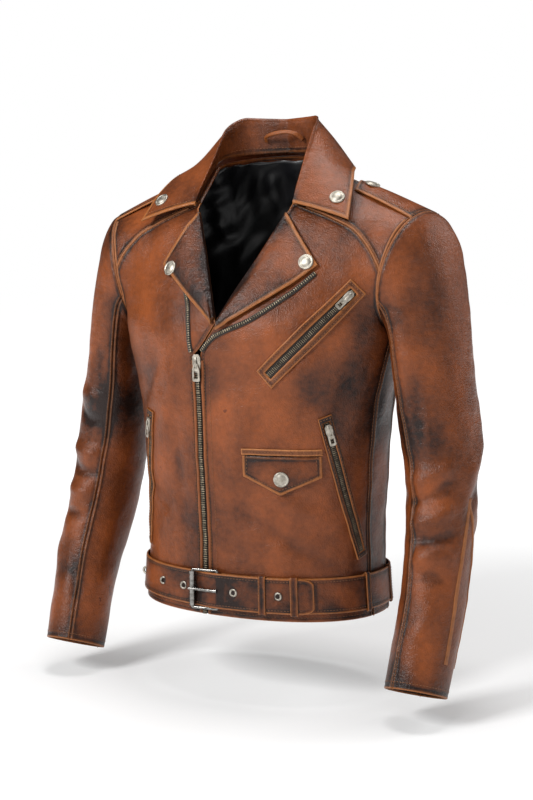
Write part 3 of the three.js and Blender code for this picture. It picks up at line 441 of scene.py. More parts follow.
    # sleeves, worked out on the left
    def sleeve(self, s, t, d=0.0) -> Array:
        """A sleeve's skin: s from armhole to cuff, t round it from the outside over the back, d inwards."""
        s, t, d = np.broadcast_arrays(*(np.asarray(a, float) for a in (s, t, d)))
        outer, inner = self.outer(s), self.inner(s)
        middle, half = (outer + inner) / 2, (outer - inner) / 2
        h = 1e-3
        lo, hi = np.clip(s - h, 0, 1), np.clip(s + h, 0, 1)
        fall = (self.outer(hi) + self.inner(hi) - self.outer(lo) - self.inner(lo)) / 2
        pitch = np.arctan2(-fall[..., 1], -fall[..., 2]) * smooth((s - 0.3) / 0.3)
        turn = TURN * (1 - smooth(s / 0.75))
        backward = np.stack([
            np.sin(turn), np.cos(pitch) * np.cos(turn), -np.sin(pitch) * np.cos(turn),
        ], -1)
        reach = np.linalg.norm(half, axis=-1)
        wide = middle + unit(half) * ((reach - d) * np.cos(t))[..., None]
        return wide + backward * ((self.depth(s) - d) * np.sin(t))[..., None]

    def sleeve_fold(self, p: Array, side: int) -> Array:
        """How far a sleeve's folds lift the leather, for points given on the left."""
        total = sum(f.at(p) for f in self.sleeve_folds[side])
        uneven = 1.0 * ripple(p * vec(1, 1, 0.6), 80, 11 + side) + 0.4 * ripple(p, 34, 17 + side)
        return 1.35 * total + uneven

    # belt
    def belt(self, q, z, lift) -> Array:
        """A place round the hips: q 0 in front, 1 at the left, 2 behind, 3 at the right, 4 in front."""
        q, z, lift = np.broadcast_arrays(*(np.asarray(a, float) for a in (q, z, lift)))
        turn = np.mod(q, 4)
        v = V_PIT * (z - HEM) / (PIT - HEM)

        def level(surface: Callable, u: Array) -> Array:
            """The surface at each u, at exactly the height z."""
            return surface(u, v * (z - HEM) / (surface(u, v)[..., 2] - HEM))

        p = np.where((turn <= 1)[..., None], level(self.front, np.clip(turn, 0, 1)), 0.0)
        p = np.where(((turn > 1) & (turn <= 3))[..., None], level(self.back, np.clip(2 - turn, -1, 1)), p)
        p = np.where((turn > 3)[..., None], level(self.front, np.clip(turn - 4, -1, 0)), p)
        flat = p.copy()
        flat[..., 2] = PIT
        p = p + self.outward(flat) * lift[..., None]
        p[..., 2] = z
        return p

    def belt_at(self, x: float) -> float:
        """The q of the place on the front of the belt at this x."""
        low, high = -0.9, 0.9
        for _ in range(40):
            half = (low + high) / 2
            below = float(self.belt(half, BELT_Z, S.belt_lift)[0]) < x
            low, high = (half, high) if below else (low, half)
        return low


def surface_normal(surface: Callable, u: Array, v: Array) -> Array:
    """The outward direction of a surface given as surface(u, v)."""
    h = 2e-3
    over = np.abs(u) + h > 1
    here = surface(u, v)
    du = np.where(over[..., None], here - surface(u - h, v), surface(np.where(over, u, u + h), v) - here)
    top = np.minimum(1, v + h)
    dv = surface(u, top) - surface(u, top - 2 * h)
    n = unit(np.cross(du, dv))
    facing = np.sum(n * JacketForm.outward(surface(u, v)), -1, keepdims=True)
    return np.where(facing < 0, -n, n)


def grid_normal(p: Array, out: Array) -> Array:
    """Directions square to a grid of points, on the side that out points to."""
    n = unit(np.cross(np.gradient(p, axis=0), np.gradient(p, axis=1)))
    facing = np.sum(n * out, -1, keepdims=True)
    return np.where(facing < 0, -n, n)


# Folds of the torso, on x and z of the front or in space; heights in millimetres.
TORSO_FOLDS = [
    Fold((150, None, -235), (60, None, -300), 2.6, 16),
    Fold((165, None, -260), (120, None, -400), -2.4, 13),
    Fold((60, None, -420), (150, None, -470), 2.0, 15),
    Fold((20, None, -440), (140, None, -520), -1.8, 12),
    Fold((40, None, -300), (10, None, -430), 2.2, 18),
    Fold((-60, None, -240), (-110, None, -400), 2.6, 17),
    Fold((-90, None, -240), (-150, None, -330), -2.6, 13),
    Fold((-55, None, -420), (-120, None, -510), 2.2, 15),
    Fold((-70, None, -330), (-60, None, -500), -2.0, 12),
    Fold((-140, None, -420), (-60, None, -470), -1.8, 12),
    Fold((100, 60, -250), (-60, 110, -300), -2.0, 20),
    Fold((-120, 80, -260), (-20, 120, -420), 2.6, 24),
    Fold((130, 80, -280), (40, 112, -450), 2.4, 24),
    Fold((-100, 100, -500), (90, 105, -470), -2.4, 16),
    Fold((-80, 108, -455), (110, 100, -505), 2.2, 18),
]
# Folds of each sleeve, given on the left: elbow creases, and long folds down the arm.
SLEEVE_FOLDS = {
    1: [
        Fold((262, -66, -300), (242, -62, -440), 4.0, 14),
        Fold((236, -62, -260), (252, -60, -400), -2.6, 12),
        Fold((290, -46, -395), (228, -56, -430), -4.6, 9, -8),
        Fold((292, -40, -372), (226, -50, -402), 3.6, 11, -8),
        Fold((296, -50, -428), (230, -62, -455), 4.2, 12, -6),
        Fold((300, -50, -462), (238, -78, -470), -4.0, 9, -6),
        Fold((298, -60, -492), (236, -84, -500), 3.6, 12, 4),
        Fold((296, -75, -520), (250, -96, -505), -2.8, 9),
        Fold((303, -20, -440), (290, 30, -400), -3.6, 12),
        Fold((303, -20, -400), (288, 36, -360), 3.2, 14),
        Fold((252, 62, -250), (290, 30, -380), 3.6, 18),
        Fold((236, 58, -330), (292, 22, -440), -3.2, 14),
        Fold((280, -90, -560), (250, -108, -600), 2.2, 12),
        Fold((232, 40, -470), (300, 0, -480), -3.4, 12),
        Fold((226, 10, -400), (222, -36, -430), -3.4, 11),
    ],
    -1: [
        Fold((282, -40, -330), (232, -62, -350), -4.0, 10, -10),
        Fold((286, -44, -300), (232, -60, -318), 3.2, 13, -10),
        Fold((292, -40, -385), (230, -62, -395), 4.4, 12, -8),
        Fold((296, -44, -408), (232, -64, -424), -4.2, 9, -8),
        Fold((298, -50, -440), (236, -72, -452), 3.6, 12, -6),
        Fold((300, -56, -478), (240, -86, -484), -3.0, 10),
        Fold((250, -68, -220), (262, -64, -320), 3.2, 15),
        Fold((230, -60, -240), (238, -62, -330), -2.6, 11),
        Fold((296, -60, -520), (262, -100, -600), 3.0, 13),
        Fold((256, -96, -520), (240, -104, -620), -2.0, 10),
        Fold((303, -20, -430), (290, 30, -400), -3.2, 12),
        Fold((252, 62, -260), (290, 30, -380), 3.4, 18),
        Fold((232, 40, -460), (300, 0, -470), -3.2, 12),
    ],
}


# ---------- materials ----------
class Graph:
    """A material's node tree, with short ways to add and join nodes."""

    def __init__(self, name: str) -> None:
        """Start a material with a Principled shader."""
        self.material = bpy.data.materials.new(name)
        self.material.use_nodes = True
        self.tree = self.material.node_tree
        self.tree.nodes.clear()
        self.shader = self.add("ShaderNodeBsdfPrincipled")
        output = self.add("ShaderNodeOutputMaterial")
        self.tree.links.new(self.shader.outputs[0], output.inputs[0])

    def add(self, kind: str, **settings) -> bpy.types.Node:
        """A new node with these settings."""
        node = self.tree.nodes.new(kind)
        for key, value in settings.items():
            setattr(node, key, value)
        return node

    def put(self, socket: bpy.types.NodeSocket, value) -> None:
        """Join a socket to another, or give it a plain value."""
        if isinstance(value, bpy.types.NodeSocket):
            self.tree.links.new(value, socket)
        else:
            socket.default_value = value

    def math(self, operation: str, a, b=0.0, clamp: bool = False) -> bpy.types.NodeSocket:
        """A sum, product or other plain operation."""
        node = self.add("ShaderNodeMath", operation=operation, use_clamp=clamp)
        self.put(node.inputs[0], a)
        self.put(node.inputs[1], b)
        return node.outputs[0]

    def blend(self, share, a, b) -> bpy.types.NodeSocket:
        """Two colours mixed."""
        node = self.add("ShaderNodeMix", data_type="RGBA")
        self.put(node.inputs[0], share)
        self.put(node.inputs[6], a)
        self.put(node.inputs[7], b)
        return node.outputs[2]

    def ramp(self, value, stops: Sequence[tuple]) -> bpy.types.NodeSocket:
        """Colours along a value, each stop a place and a colour."""
        node = self.add("ShaderNodeValToRGB")
        ramp = node.color_ramp
        for place, colour in stops[2:]:
            ramp.elements.new(place)
        for element, (place, colour) in zip(ramp.elements, stops):
            element.position = place
            element.color = colour
        self.put(node.inputs[0], value)
        return node.outputs[0]

    def noise(self, scale: float, detail: float, stretch: tuple = (1, 1, 1)) -> bpy.types.NodeSocket:
        """Noise on object coordinates, its scale in turns per metre."""
        place = self.add("ShaderNodeTexCoord").outputs["Object"]
        if stretch != (1, 1, 1):
            mapping = self.add("ShaderNodeMapping")
            self.put(mapping.inputs[0], place)
            self.put(mapping.inputs["Scale"], stretch)
            place = mapping.outputs[0]
        node = self.add("ShaderNodeTexNoise")
        self.put(node.inputs["Vector"], place)
        self.put(node.inputs["Scale"], scale)
        self.put(node.inputs["Detail"], detail)
        return node.outputs[0]

    def cells(self, scale: float) -> bpy.types.NodeSocket:
        """Distance to the nearest of scattered points."""
        node = self.add("ShaderNodeTexVoronoi")
        self.put(node.inputs["Vector"], self.add("ShaderNodeTexCoord").outputs["Object"])
        self.put(node.inputs["Scale"], scale)
        return node.outputs["Distance"]

    def attribute(self, name: str) -> bpy.types.NodeSocket:
        """A number kept on the mesh."""
        return self.add("ShaderNodeAttribute", attribute_name=name).outputs["Fac"]

    def relief(self, height, strength: float, depth: float) -> None:
        """Bump from a height, its depth in metres."""
        node = self.add("ShaderNodeBump")
        self.put(node.inputs["Height"], height)
        self.put(node.inputs["Strength"], strength)
        self.put(node.inputs["Distance"], depth)
        self.tree.links.new(node.outputs[0], self.shader.inputs["Normal"])


def srgb(red: int, green: int, blue: int) -> tuple:
    """A linear colour from 8-bit values."""
    channels = (red, green, blue)
    return (*[(c / 255 / 12.92) if c < 11 else ((c / 255 + 0.055) / 1.055) ** 2.4 for c in channels], 1.0)


@dataclass(frozen=True)
class Leather:
    """Burnished leather: darkened by its burnish along seams and edges and by painted shade in its folds,
    stitch grooves and where parts shade each other, worn to tan on its edges.

    Each piece carries two numbers per point, one for the dark, which is burnish and painted shade together,
    and "wear" for the worn edge.
    """

    name: str
    dark: tuple
    deep: tuple
    middle: tuple
    light: tuple
    edge: tuple
    rough: float = 0.36

    def build(self) -> bpy.types.Material:
        """Make the material."""
        g = Graph(self.name)
        cloud = g.noise(6.5, 3.0)
        patch = g.noise(21.0, 5.0, (1, 1, 0.55))
        fine = g.noise(150.0, 4.0)
        burnish_and_shade, wear = g.attribute("burnish_and_shade"), g.attribute("wear")
        tone = g.math("MULTIPLY_ADD", g.math("SUBTRACT", cloud, 0.5), 1.25)
        tone.node.inputs[2].default_value = 0.68
        for part, weight in ((patch, 1.05), (fine, 0.55)):
            tone = g.math("ADD", tone, g.math("MULTIPLY", g.math("SUBTRACT", part, 0.5), weight))
        # The dark number, burnish and painted shade together, darkens the tone unevenly.
        uneven = g.math("MULTIPLY", burnish_and_shade, g.math("ADD", 0.15, g.math("MULTIPLY", patch, 1.7)))
        tone = g.math("SUBTRACT", tone, g.math("MULTIPLY", uneven, 0.6), clamp=True)
        colour = g.ramp(tone, [(0.0, self.dark), (1.0, self.light), (0.3, self.deep), (0.62, self.middle)])
        rubbed = g.math("MULTIPLY", wear, g.math("ADD", 0.55, g.math("MULTIPLY", fine, 0.8)), clamp=True)
        colour = g.blend(rubbed, colour, self.edge)
        g.put(g.shader.inputs["Base Color"], colour)
        rough = g.math("ADD", self.rough - 0.09, g.math("MULTIPLY", patch, 0.18))
        g.put(g.shader.inputs["Roughness"], g.math("ADD", rough, g.math("MULTIPLY", g.cells(900.0), 0.05)))
        g.put(g.shader.inputs["Specular IOR Level"], 0.3)
        g.put(g.shader.inputs["Coat Weight"], 0.06)
        g.put(g.shader.inputs["Coat Roughness"], 0.34)
        wrinkles = g.math("MULTIPLY", g.noise(48.0, 4.0, (1, 1, 2.2)), 2.6)
        pores = g.math("MULTIPLY", g.cells(620.0), 0.7)
        creases = g.math("MULTIPLY", g.noise(330.0, 3.0), 0.9)
        fine = g.math("ADD", pores, creases)
        broad = g.math("ADD", g.math("MULTIPLY", patch, 1.4), wrinkles)
        g.relief(g.math("ADD", fine, broad), 0.5, 0.0012)
        return g.material


@dataclass(frozen=True)
class Metal:
    """Cast or stamped metal, dulled unevenly."""

    name: str
    bright: tuple
    dull: tuple
    rough: float
    scratches: float = 0.1

    def build(self) -> bpy.types.Material:
        """Make the material."""
        g = Graph(self.name)
        smudge = g.noise(170.0, 4.0)
        g.put(g.shader.inputs["Metallic"], 1.0)
        g.put(g.shader.inputs["Base Color"], g.ramp(smudge, [(0.3, self.dull), (0.68, self.bright)]))
        g.put(g.shader.inputs["Roughness"], g.math("ADD", self.rough - 0.08, g.math("MULTIPLY", smudge, 0.2)))
        g.relief(g.noise(900.0, 2.0, (1, 1, 0.12)), self.scratches, 0.0002)
        return g.material


@dataclass(frozen=True)
class Cloth:
    """Woven cloth, from dull tape to satin."""

    name: str
    colour: tuple
    shine: tuple
    rough: float
    threads: float
    sheen: float = 0.0

    def build(self) -> bpy.types.Material:
        """Make the material."""
        g = Graph(self.name)
        soft = g.noise(26.0, 3.0)
        g.put(g.shader.inputs["Base Color"], g.blend(soft, self.colour, self.shine))
        g.put(g.shader.inputs["Roughness"], g.math("ADD", self.rough - 0.05, g.math("MULTIPLY", soft, 0.12)))
        g.put(g.shader.inputs["Sheen Weight"], self.sheen)
        wave = g.add("ShaderNodeTexWave", bands_direction="DIAGONAL")
        g.put(wave.inputs["Vector"], g.add("ShaderNodeTexCoord").outputs["Object"])
        g.put(wave.inputs["Scale"], self.threads)
        g.relief(g.math("ADD", wave.outputs[1], g.math("MULTIPLY", soft, 1.5)), 0.12, 0.0003)
        return g.material


class Finish(Enum):
    """The finishes in use."""

    HIDE = Leather("hide", srgb(30, 13, 7), srgb(60, 26, 12), srgb(101, 46, 18), srgb(144, 74, 32),
                   srgb(156, 95, 48))
    TRIM = Leather("trim", srgb(48, 22, 11), srgb(88, 42, 20), srgb(136, 72, 36), srgb(166, 98, 54),
                   srgb(186, 122, 72), 0.5)
    LINING = Cloth("satin", srgb(9, 9, 11), srgb(20, 20, 23), 0.36, 900.0)
    TAPE = Cloth("zip_tape", srgb(26, 21, 19), srgb(44, 36, 31), 0.8, 600.0, 0.2)
    THREAD = Cloth("thread", srgb(112, 66, 34), srgb(152, 98, 56), 0.7, 1500.0, 0.1)
    SILVER = Metal("antique_silver", srgb(204, 198, 186), srgb(140, 132, 120), 0.48, 0.2)
    TEETH = Metal("zip_teeth", srgb(176, 162, 138), srgb(84, 74, 60), 0.34, 0.1)
    STEEL = Metal("polished_steel", srgb(158, 156, 152), srgb(96, 94, 90), 0.24, 0.06)

    def material(self) -> bpy.types.Material:
        """The finish's material, made the first time it is asked for."""
        return bpy.data.materials.get(self.value.name) or self.value.build()


# ---------- meshes ----------
Rig = Callable[[bpy.types.Object], None]


def rides(body: str) -> Rig:
    """A rig for a piece that moves with one body."""
    return lambda obj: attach(obj, body)


def make(name: str, points: Array, faces: Sequence, finish: Finish, rig: Rig, nodes: Sequence[str] = (),
         numbers: dict | None = None, sharp: float | None = None) -> bpy.types.Object:
    """A mesh piece of the jacket.

    Args:
        name: the piece's name.
        points: its points in millimetres.
        faces: its faces, pointing outwards.
        finish: what it is made of.
        rig: what moves it.
        nodes: the CAD nodes that it stands for.
        numbers: a value for each point, by attribute name.
        sharp: the angle in degrees past which edges stay crisp; smooth all over without one.

    Returns:
        The piece.
    """
    mesh = bpy.data.meshes.new(name)
    mesh.from_pydata((np.asarray(points) * MM).tolist(), [], [list(map(int, f)) for f in faces])
    mesh.validate()
    mesh.shade_smooth()
    if sharp is not None:
        mesh.set_sharp_from_angle(angle=math.radians(sharp))
    for key, values in (numbers or {}).items():
        layer = mesh.attributes.new(key, "FLOAT", "POINT")
        layer.data.foreach_set("value", np.asarray(values, np.float32))
    mesh.materials.append(finish.material())
    obj = bpy.data.objects.new(name, mesh)
    bpy.context.scene.collection.objects.link(obj)
    rig(obj)
    if nodes:
        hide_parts(*nodes)
    log.info("%s: %d faces", name, len(mesh.polygons))
    return obj


def nearest_distance(points: Array, line: Array) -> Array:
    """The distance from each point to the nearest of the line's points."""
    if not len(line):
        return np.full(len(points), 1e3)
    best = np.empty(len(points))
    for i in range(0, len(points), 4000):
        part = points[i:i + 4000]
        square = (part ** 2).sum(1)[:, None] - 2 * part @ line.T + (line ** 2).sum(1)[None]
        best[i:i + 4000] = np.sqrt(np.maximum(square.min(1), 0))
    return best


@dataclass
class Sheet:
    """A skin of leather or cloth over a grid of points, with thickness and finished edges.

    Attributes:
        name: the piece's name.
        grid: the outer points, by column and row, in millimetres.
        out: the outward direction at each.
        thick: its thickness.
        keep: which cells are part of it, or all.
        closed: the last column joins the first.
        free: says for a boundary point's column and row whether it is a free edge rather than a seam.
        seam_depth: how far a seam's edge is pulled in.
        puff: how far the leather swells beside a seam.
        rim: how wide the worn rim of a free edge is; 0 for none.
    """

    name: str
    grid: Array
    out: Array
    thick: float
    keep: Array | None = None
    closed: bool = False
    free: Callable[[int, int], bool] = lambda i, j: False
    seam_depth: float = 1.1
    puff: float = 0.55
    rim: float = 0.0
    burnish_and_shade: float = 1.0
    shade: Array | None = None
    relief: Array | None = None
    top: Array | None = None

    def _cells(self) -> tuple[Array, list]:
        """The kept cells, and the boundary edges as pairs of grid places."""
        ni, nj = self.grid.shape[:2]
        cols = ni if self.closed else ni - 1
        keep = np.ones((cols, nj - 1), bool) if self.keep is None else self.keep
        edges = []

        def has(i: int, j: int) -> bool:
            if self.closed:
                i %= cols
            return 0 <= i < cols and 0 <= j < nj - 1 and bool(keep[i, j])

        for i in range(cols):
            for j in range(nj - 1):
                if not keep[i, j]:
                    continue
                k = (i + 1) % ni
                if not has(i, j - 1):
                    edges.append(((i, j), (k, j)))
                if not has(i + 1, j):
                    edges.append(((k, j), (k, j + 1)))
                if not has(i, j + 1):
                    edges.append(((k, j + 1), (i, j + 1)))
                if not has(i - 1, j):
                    edges.append(((i, j + 1), (i, j)))
        return keep, edges

    def build(self, finish: Finish, rig: Rig, nodes: Sequence[str] = ()) -> bpy.types.Object:
        """Make the piece."""
        ni, nj = self.grid.shape[:2]
        keep, edges = self._cells()
        flat = self.grid.reshape(-1, 3)
        out = self.out.reshape(-1, 3)
        border = sorted({place for edge in edges for place in edge})
        free = [p for p in border if self.free(*p)]
        seam = [p for p in border if not self.free(*p)]
        to_free = nearest_distance(flat, np.array([self.grid[p] for p in free]).reshape(-1, 3))
        to_seam = nearest_distance(flat, np.array([self.grid[p] for p in seam]).reshape(-1, 3))
        inward = np.clip(to_free / 1.6, 0, 1)
        round_off = self.thick * 0.42 * (1 - np.sqrt(np.clip(1 - (1 - inward) ** 2, 0, 1)))
        tuck = self.seam_depth * (1 - smooth(to_seam / 2.4)) - self.puff * bump(to_seam - 2.9, 1.9)
        press = 0.32 * bump(np.minimum(to_seam, to_free + (0 if self.rim else 1e3)) - STITCH_IN - 1.2, 0.9)
        top = flat - out * (round_off + tuck + press)[:, None]
        under = flat - out * (self.thick + 0.3 * tuck)[:, None]
        self.top = top.reshape(self.grid.shape)
        n = ni * nj
        faces = []
        sign = self._sign()
        cols = ni if self.closed else ni - 1
        for i in range(cols):
            k = (i + 1) % ni
            for j in range(nj - 1):
                if keep[i, j]:
                    a, b, c, d = i * nj + j, k * nj + j, k * nj + j + 1, i * nj + j + 1
                    faces.append((a, b, c, d) if sign > 0 else (d, c, b, a))
                    faces.append((d + n, c + n, b + n, a + n) if sign > 0 else (a + n, b + n, c + n, d + n))
        for (i, j), (k, m) in edges:
            a, b = i * nj + j, k * nj + m
            faces.append((b, a, a + n, b + n) if sign > 0 else (a, b, b + n, a + n))
        points = np.concatenate([top, under])
        shade = np.zeros(n) if self.shade is None else self.shade.reshape(-1)
        # Painted shade: the valleys of folds are darkened by their depth.
        low = 0.0 if self.relief is None else np.clip(-self.relief.reshape(-1) / 3.2, 0, 1)
        edges = 0.85 * np.exp(-to_seam / 9.0) + 0.55 * np.exp(-to_free / 16.0)
        # The dark sums the burnish along seams and edges, the piece's own burnish and painted shade, and the
        # painted shade in fold valleys.
        burnish_and_shade = self.burnish_and_shade * edges + shade + 0.5 * low
        # Painted shade in the groove pressed beside each line of stitches.
        stitched = np.minimum(to_seam, to_free if self.rim else 1e3)
        burnish_and_shade = burnish_and_shade + 0.5 * bump(stitched - STITCH_IN - 1.2, 1.5)
        worn = 0.95 * (1 - smooth((to_free - 0.5 * self.rim) / max(0.9, 0.9 * self.rim)))
        wear = worn if self.rim else np.zeros(n)
        wear = np.maximum(wear, 0.35 * bump(to_seam - 2.2, 1.1))
        used = sorted({i for f in faces for i in f})
        order = np.full(2 * n, -1)
        order[used] = np.arange(len(used))
        burnish_and_shade, wear = np.tile(np.clip(burnish_and_shade, 0, 1.3), 2)[used], np.tile(wear, 2)[used]
        faces = [tuple(order[i] for i in f) for f in faces]
        return make(self.name, points[used], faces, finish, rig, nodes, {"burnish_and_shade": burnish_and_shade, "wear": wear})

    def _sign(self) -> int:
        """Whether columns then rows turn the way that faces outwards."""
        i, j = self.grid.shape[0] // 2, self.grid.shape[1] // 2
        du = self.grid[min(i + 1, self.grid.shape[0] - 1), j] - self.grid[i - 1, j]
        dv = self.grid[i, min(j + 1, self.grid.shape[1] - 1)] - self.grid[i, j - 1]
        return 1 if np.dot(np.cross(du, dv), self.out[i, j]) > 0 else -1


def loft(name: str, sections: Array, finish: Finish, rig: Rig, nodes: Sequence[str] = (), ring: bool = False,
         numbers: dict | None = None, sharp: float | None = None) -> bpy.types.Object:
    """A closed body through sections of equally many points, capped at both ends unless it is a ring."""
    points, faces = loft_parts(sections, ring)
    return make(name, points, faces, finish, rig, nodes, numbers, sharp)


def loft_parts(sections: Array, ring: bool = False) -> tuple[Array, list]:
    """The points and outward faces of a loft."""
    n, m = sections.shape[:2]
    faces = []
    for i in range(n if ring else n - 1):
        k = (i + 1) % n
        for j in range(m):
            l = (j + 1) % m
            faces.append((i * m + j, i * m + l, k * m + l, k * m + j))
    if not ring:
        faces.append(tuple(range(m - 1, -1, -1)))
        faces.append(tuple(range((n - 1) * m, n * m)))
    points = sections.reshape(-1, 3)
    volume = sum(np.dot(points[f[0]], np.cross(points[f[i]], points[f[i + 1]]))
                 for f in faces for i in range(1, len(f) - 1))
    if volume < 0:
        faces = [f[::-1] for f in faces]
    return points, faces


def together(parts: Sequence[tuple[Array, list]]) -> tuple[Array, list]:
    """Several bodies' points and faces as one."""
    points, faces, start = [], [], 0
    for p, f in parts:
        points.append(p)
        faces += [tuple(i + start for i in face) for face in f]
        start += len(p)
    return np.concatenate(points), faces


def ribbon(path: Array, up: Array, width: float, height: float, sink: float = 0.5,
           crown: float = 1.0) -> Array:
    """Sections of a raised band, or piping, along a path.

    Args:
        path: the middle line on the surface.
        up: the outward direction at each of its points.
        width: across the band.
        height: over the surface.
        sink: how far it reaches below the surface.
        crown: 1 for a round top and 0 for a flat one.

    Returns:
        An array of sections, each a closed ring of points.
    """
    along = unit(np.gradient(path, axis=0))
    across = unit(np.cross(along, up))
    half = width / 2
    count = 7
    ring = []
    for k in range(count):
        t = -1 + 2 * k / (count - 1)
        round_top = math.sqrt(max(0.0, 1 - t * t))
        flat_top = min(1.0, (1 - abs(t)) * 3.5)
        ring.append((t * half, height * lerp(flat_top, round_top, crown)))
    ring += [(half, -sink), (-half, -sink)]
    return np.stack([path + across * x + up * y for x, y in ring], 1)


def lathe(profile: Sequence[tuple], origin: Array, axis: Array, count: int = 40) -> tuple[Array, list]:
    """A turned body from (radius, height) pairs that start and end on the axis."""
    axis = unit(np.asarray(axis, float))
    side = unit(np.cross(axis, vec(0, 0, 1) if abs(axis[2]) < 0.9 else vec(1, 0, 0)))
    other = np.cross(axis, side)
    inner = profile[1:-1]
    points = [origin + axis * profile[0][1]]
    for r, h in inner:
        for k in range(count):
            a = 2 * math.pi * k / count
            points.append(origin + axis * h + (side * math.cos(a) + other * math.sin(a)) * r)
    points.append(origin + axis * profile[-1][1])
    faces = []
    last = len(points) - 1
    for k in range(count):
        n = (k + 1) % count
        faces.append((0, 1 + n, 1 + k))
        for ring in range(len(inner) - 1):
            a, b = 1 + ring * count, 1 + (ring + 1) * count
            faces.append((a + k, a + n, b + n, b + k))
        a = 1 + (len(inner) - 1) * count
        faces.append((a + k, a + n, last))
    return np.array(points), faces


def prism(outline: Sequence[tuple], holes: Sequence[Sequence[tuple]], low: float, high: float, origin: Array,
          x: Array, y: Array, bevel: float = 0.3) -> tuple[Array, list]:
    """A flat plate with holes and eased edges, its outline drawn along x and y.

    Returns:
        Its points in millimetres and its faces.
    """
    curve = bpy.data.curves.new("plate", "CURVE")
    curve.dimensions = "2D"
    curve.fill_mode = "BOTH"
    curve.extrude = (high - low) / 2 - bevel
    curve.bevel_depth = bevel
    curve.bevel_resolution = 1
    curve.offset = -bevel
    for loop in (outline, *holes):
        spline = curve.splines.new("POLY")
        spline.points.add(len(loop) - 1)
        for point, (a, b) in zip(spline.points, loop):
            point.co = (a, b, 0, 1)
        spline.use_cyclic_u = True
    obj = bpy.data.objects.new("plate", curve)
    bpy.context.scene.collection.objects.link(obj)
    mesh = bpy.data.meshes.new_from_object(obj.evaluated_get(bpy.context.evaluated_depsgraph_get()))
    flat = np.array([v.co for v in mesh.vertices], float).reshape(-1, 3)
    faces = [tuple(p.vertices) for p in mesh.polygons]
    bpy.data.objects.remove(obj)
    bpy.data.curves.remove(curve)
    bpy.data.meshes.remove(mesh)
    x, y = unit(np.asarray(x, float)), unit(np.asarray(y, float))
    z = np.cross(x, y)
    points = origin + flat[:, :1] * x + flat[:, 1:2] * y + (flat[:, 2:] + (low + high) / 2) * z
    return points, faces


def merge(points: Array, faces: Sequence, step: float = 1e-4) -> tuple[Array, list]:
    """The same body with points in one place joined."""
    keys = np.round(points / step).astype(np.int64)
    _, first, back = np.unique(keys, axis=0, return_index=True, return_inverse=True)
    back = back.reshape(-1)
    joined = [tuple(dict.fromkeys(int(back[i]) for i in f)) for f in faces]
    return points[first], [f for f in joined if len(f) > 2]


# ---------- repeated parts ----------
class RunTree:
    """Geometry Nodes that set one small part again and again along the paths of a mesh."""

    NAME = "part_run"

    @classmethod
    def get(cls) -> bpy.types.NodeTree:
        """The tree, made once."""
        return bpy.data.node_groups.get(cls.NAME) or cls._build()

    @classmethod
    def _build(cls) -> bpy.types.NodeTree:
        """Make the tree: path, resample, instance, turn, realize, set material."""
        tree = bpy.data.node_groups.new(cls.NAME, "GeometryNodeTree")
        face = tree.interface
        face.new_socket("Geometry", in_out="INPUT", socket_type="NodeSocketGeometry")
        face.new_socket("Part", in_out="INPUT", socket_type="NodeSocketObject")
        face.new_socket("Pitch", in_out="INPUT", socket_type="NodeSocketFloat")
        face.new_socket("Material", in_out="INPUT", socket_type="NodeSocketMaterial")
        face.new_socket("Geometry", in_out="OUTPUT", socket_type="NodeSocketGeometry")
        new, link = tree.nodes.new, tree.links.new
        source, result = new("NodeGroupInput"), new("NodeGroupOutput")
        to_curve = new("GeometryNodeMeshToCurve")
        resample = new("GeometryNodeResampleCurve")
        resample.mode = "LENGTH"
        place = new("GeometryNodeInstanceOnPoints")
        info = new("GeometryNodeObjectInfo")
        tangent = new("GeometryNodeInputTangent")
        up = new("GeometryNodeInputNamedAttribute")
        up.data_type = "FLOAT_VECTOR"
        up.inputs["Name"].default_value = "up"
        lengthways = new("FunctionNodeAlignRotationToVector")
        upright = new("FunctionNodeAlignRotationToVector")
        lengthways.axis, upright.axis, upright.pivot_axis = "X", "Z", "X"
        realize, paint = new("GeometryNodeRealizeInstances"), new("GeometryNodeSetMaterial")
        link(source.outputs["Geometry"], to_curve.inputs[0])
        link(to_curve.outputs[0], resample.inputs["Curve"])
        link(source.outputs["Pitch"], resample.inputs["Length"])
        link(resample.outputs[0], place.inputs["Points"])
        link(source.outputs["Part"], info.inputs["Object"])
        link(info.outputs["Geometry"], place.inputs["Instance"])
        link(tangent.outputs[0], lengthways.inputs["Vector"])
        link(lengthways.outputs[0], upright.inputs["Rotation"])
        link(up.outputs["Attribute"], upright.inputs["Vector"])
        link(upright.outputs[0], place.inputs["Rotation"])
        link(place.outputs[0], realize.inputs[0])
        link(realize.outputs[0], paint.inputs["Geometry"])
        link(source.outputs["Material"], paint.inputs["Material"])
        link(paint.outputs[0], result.inputs[0])
        return tree


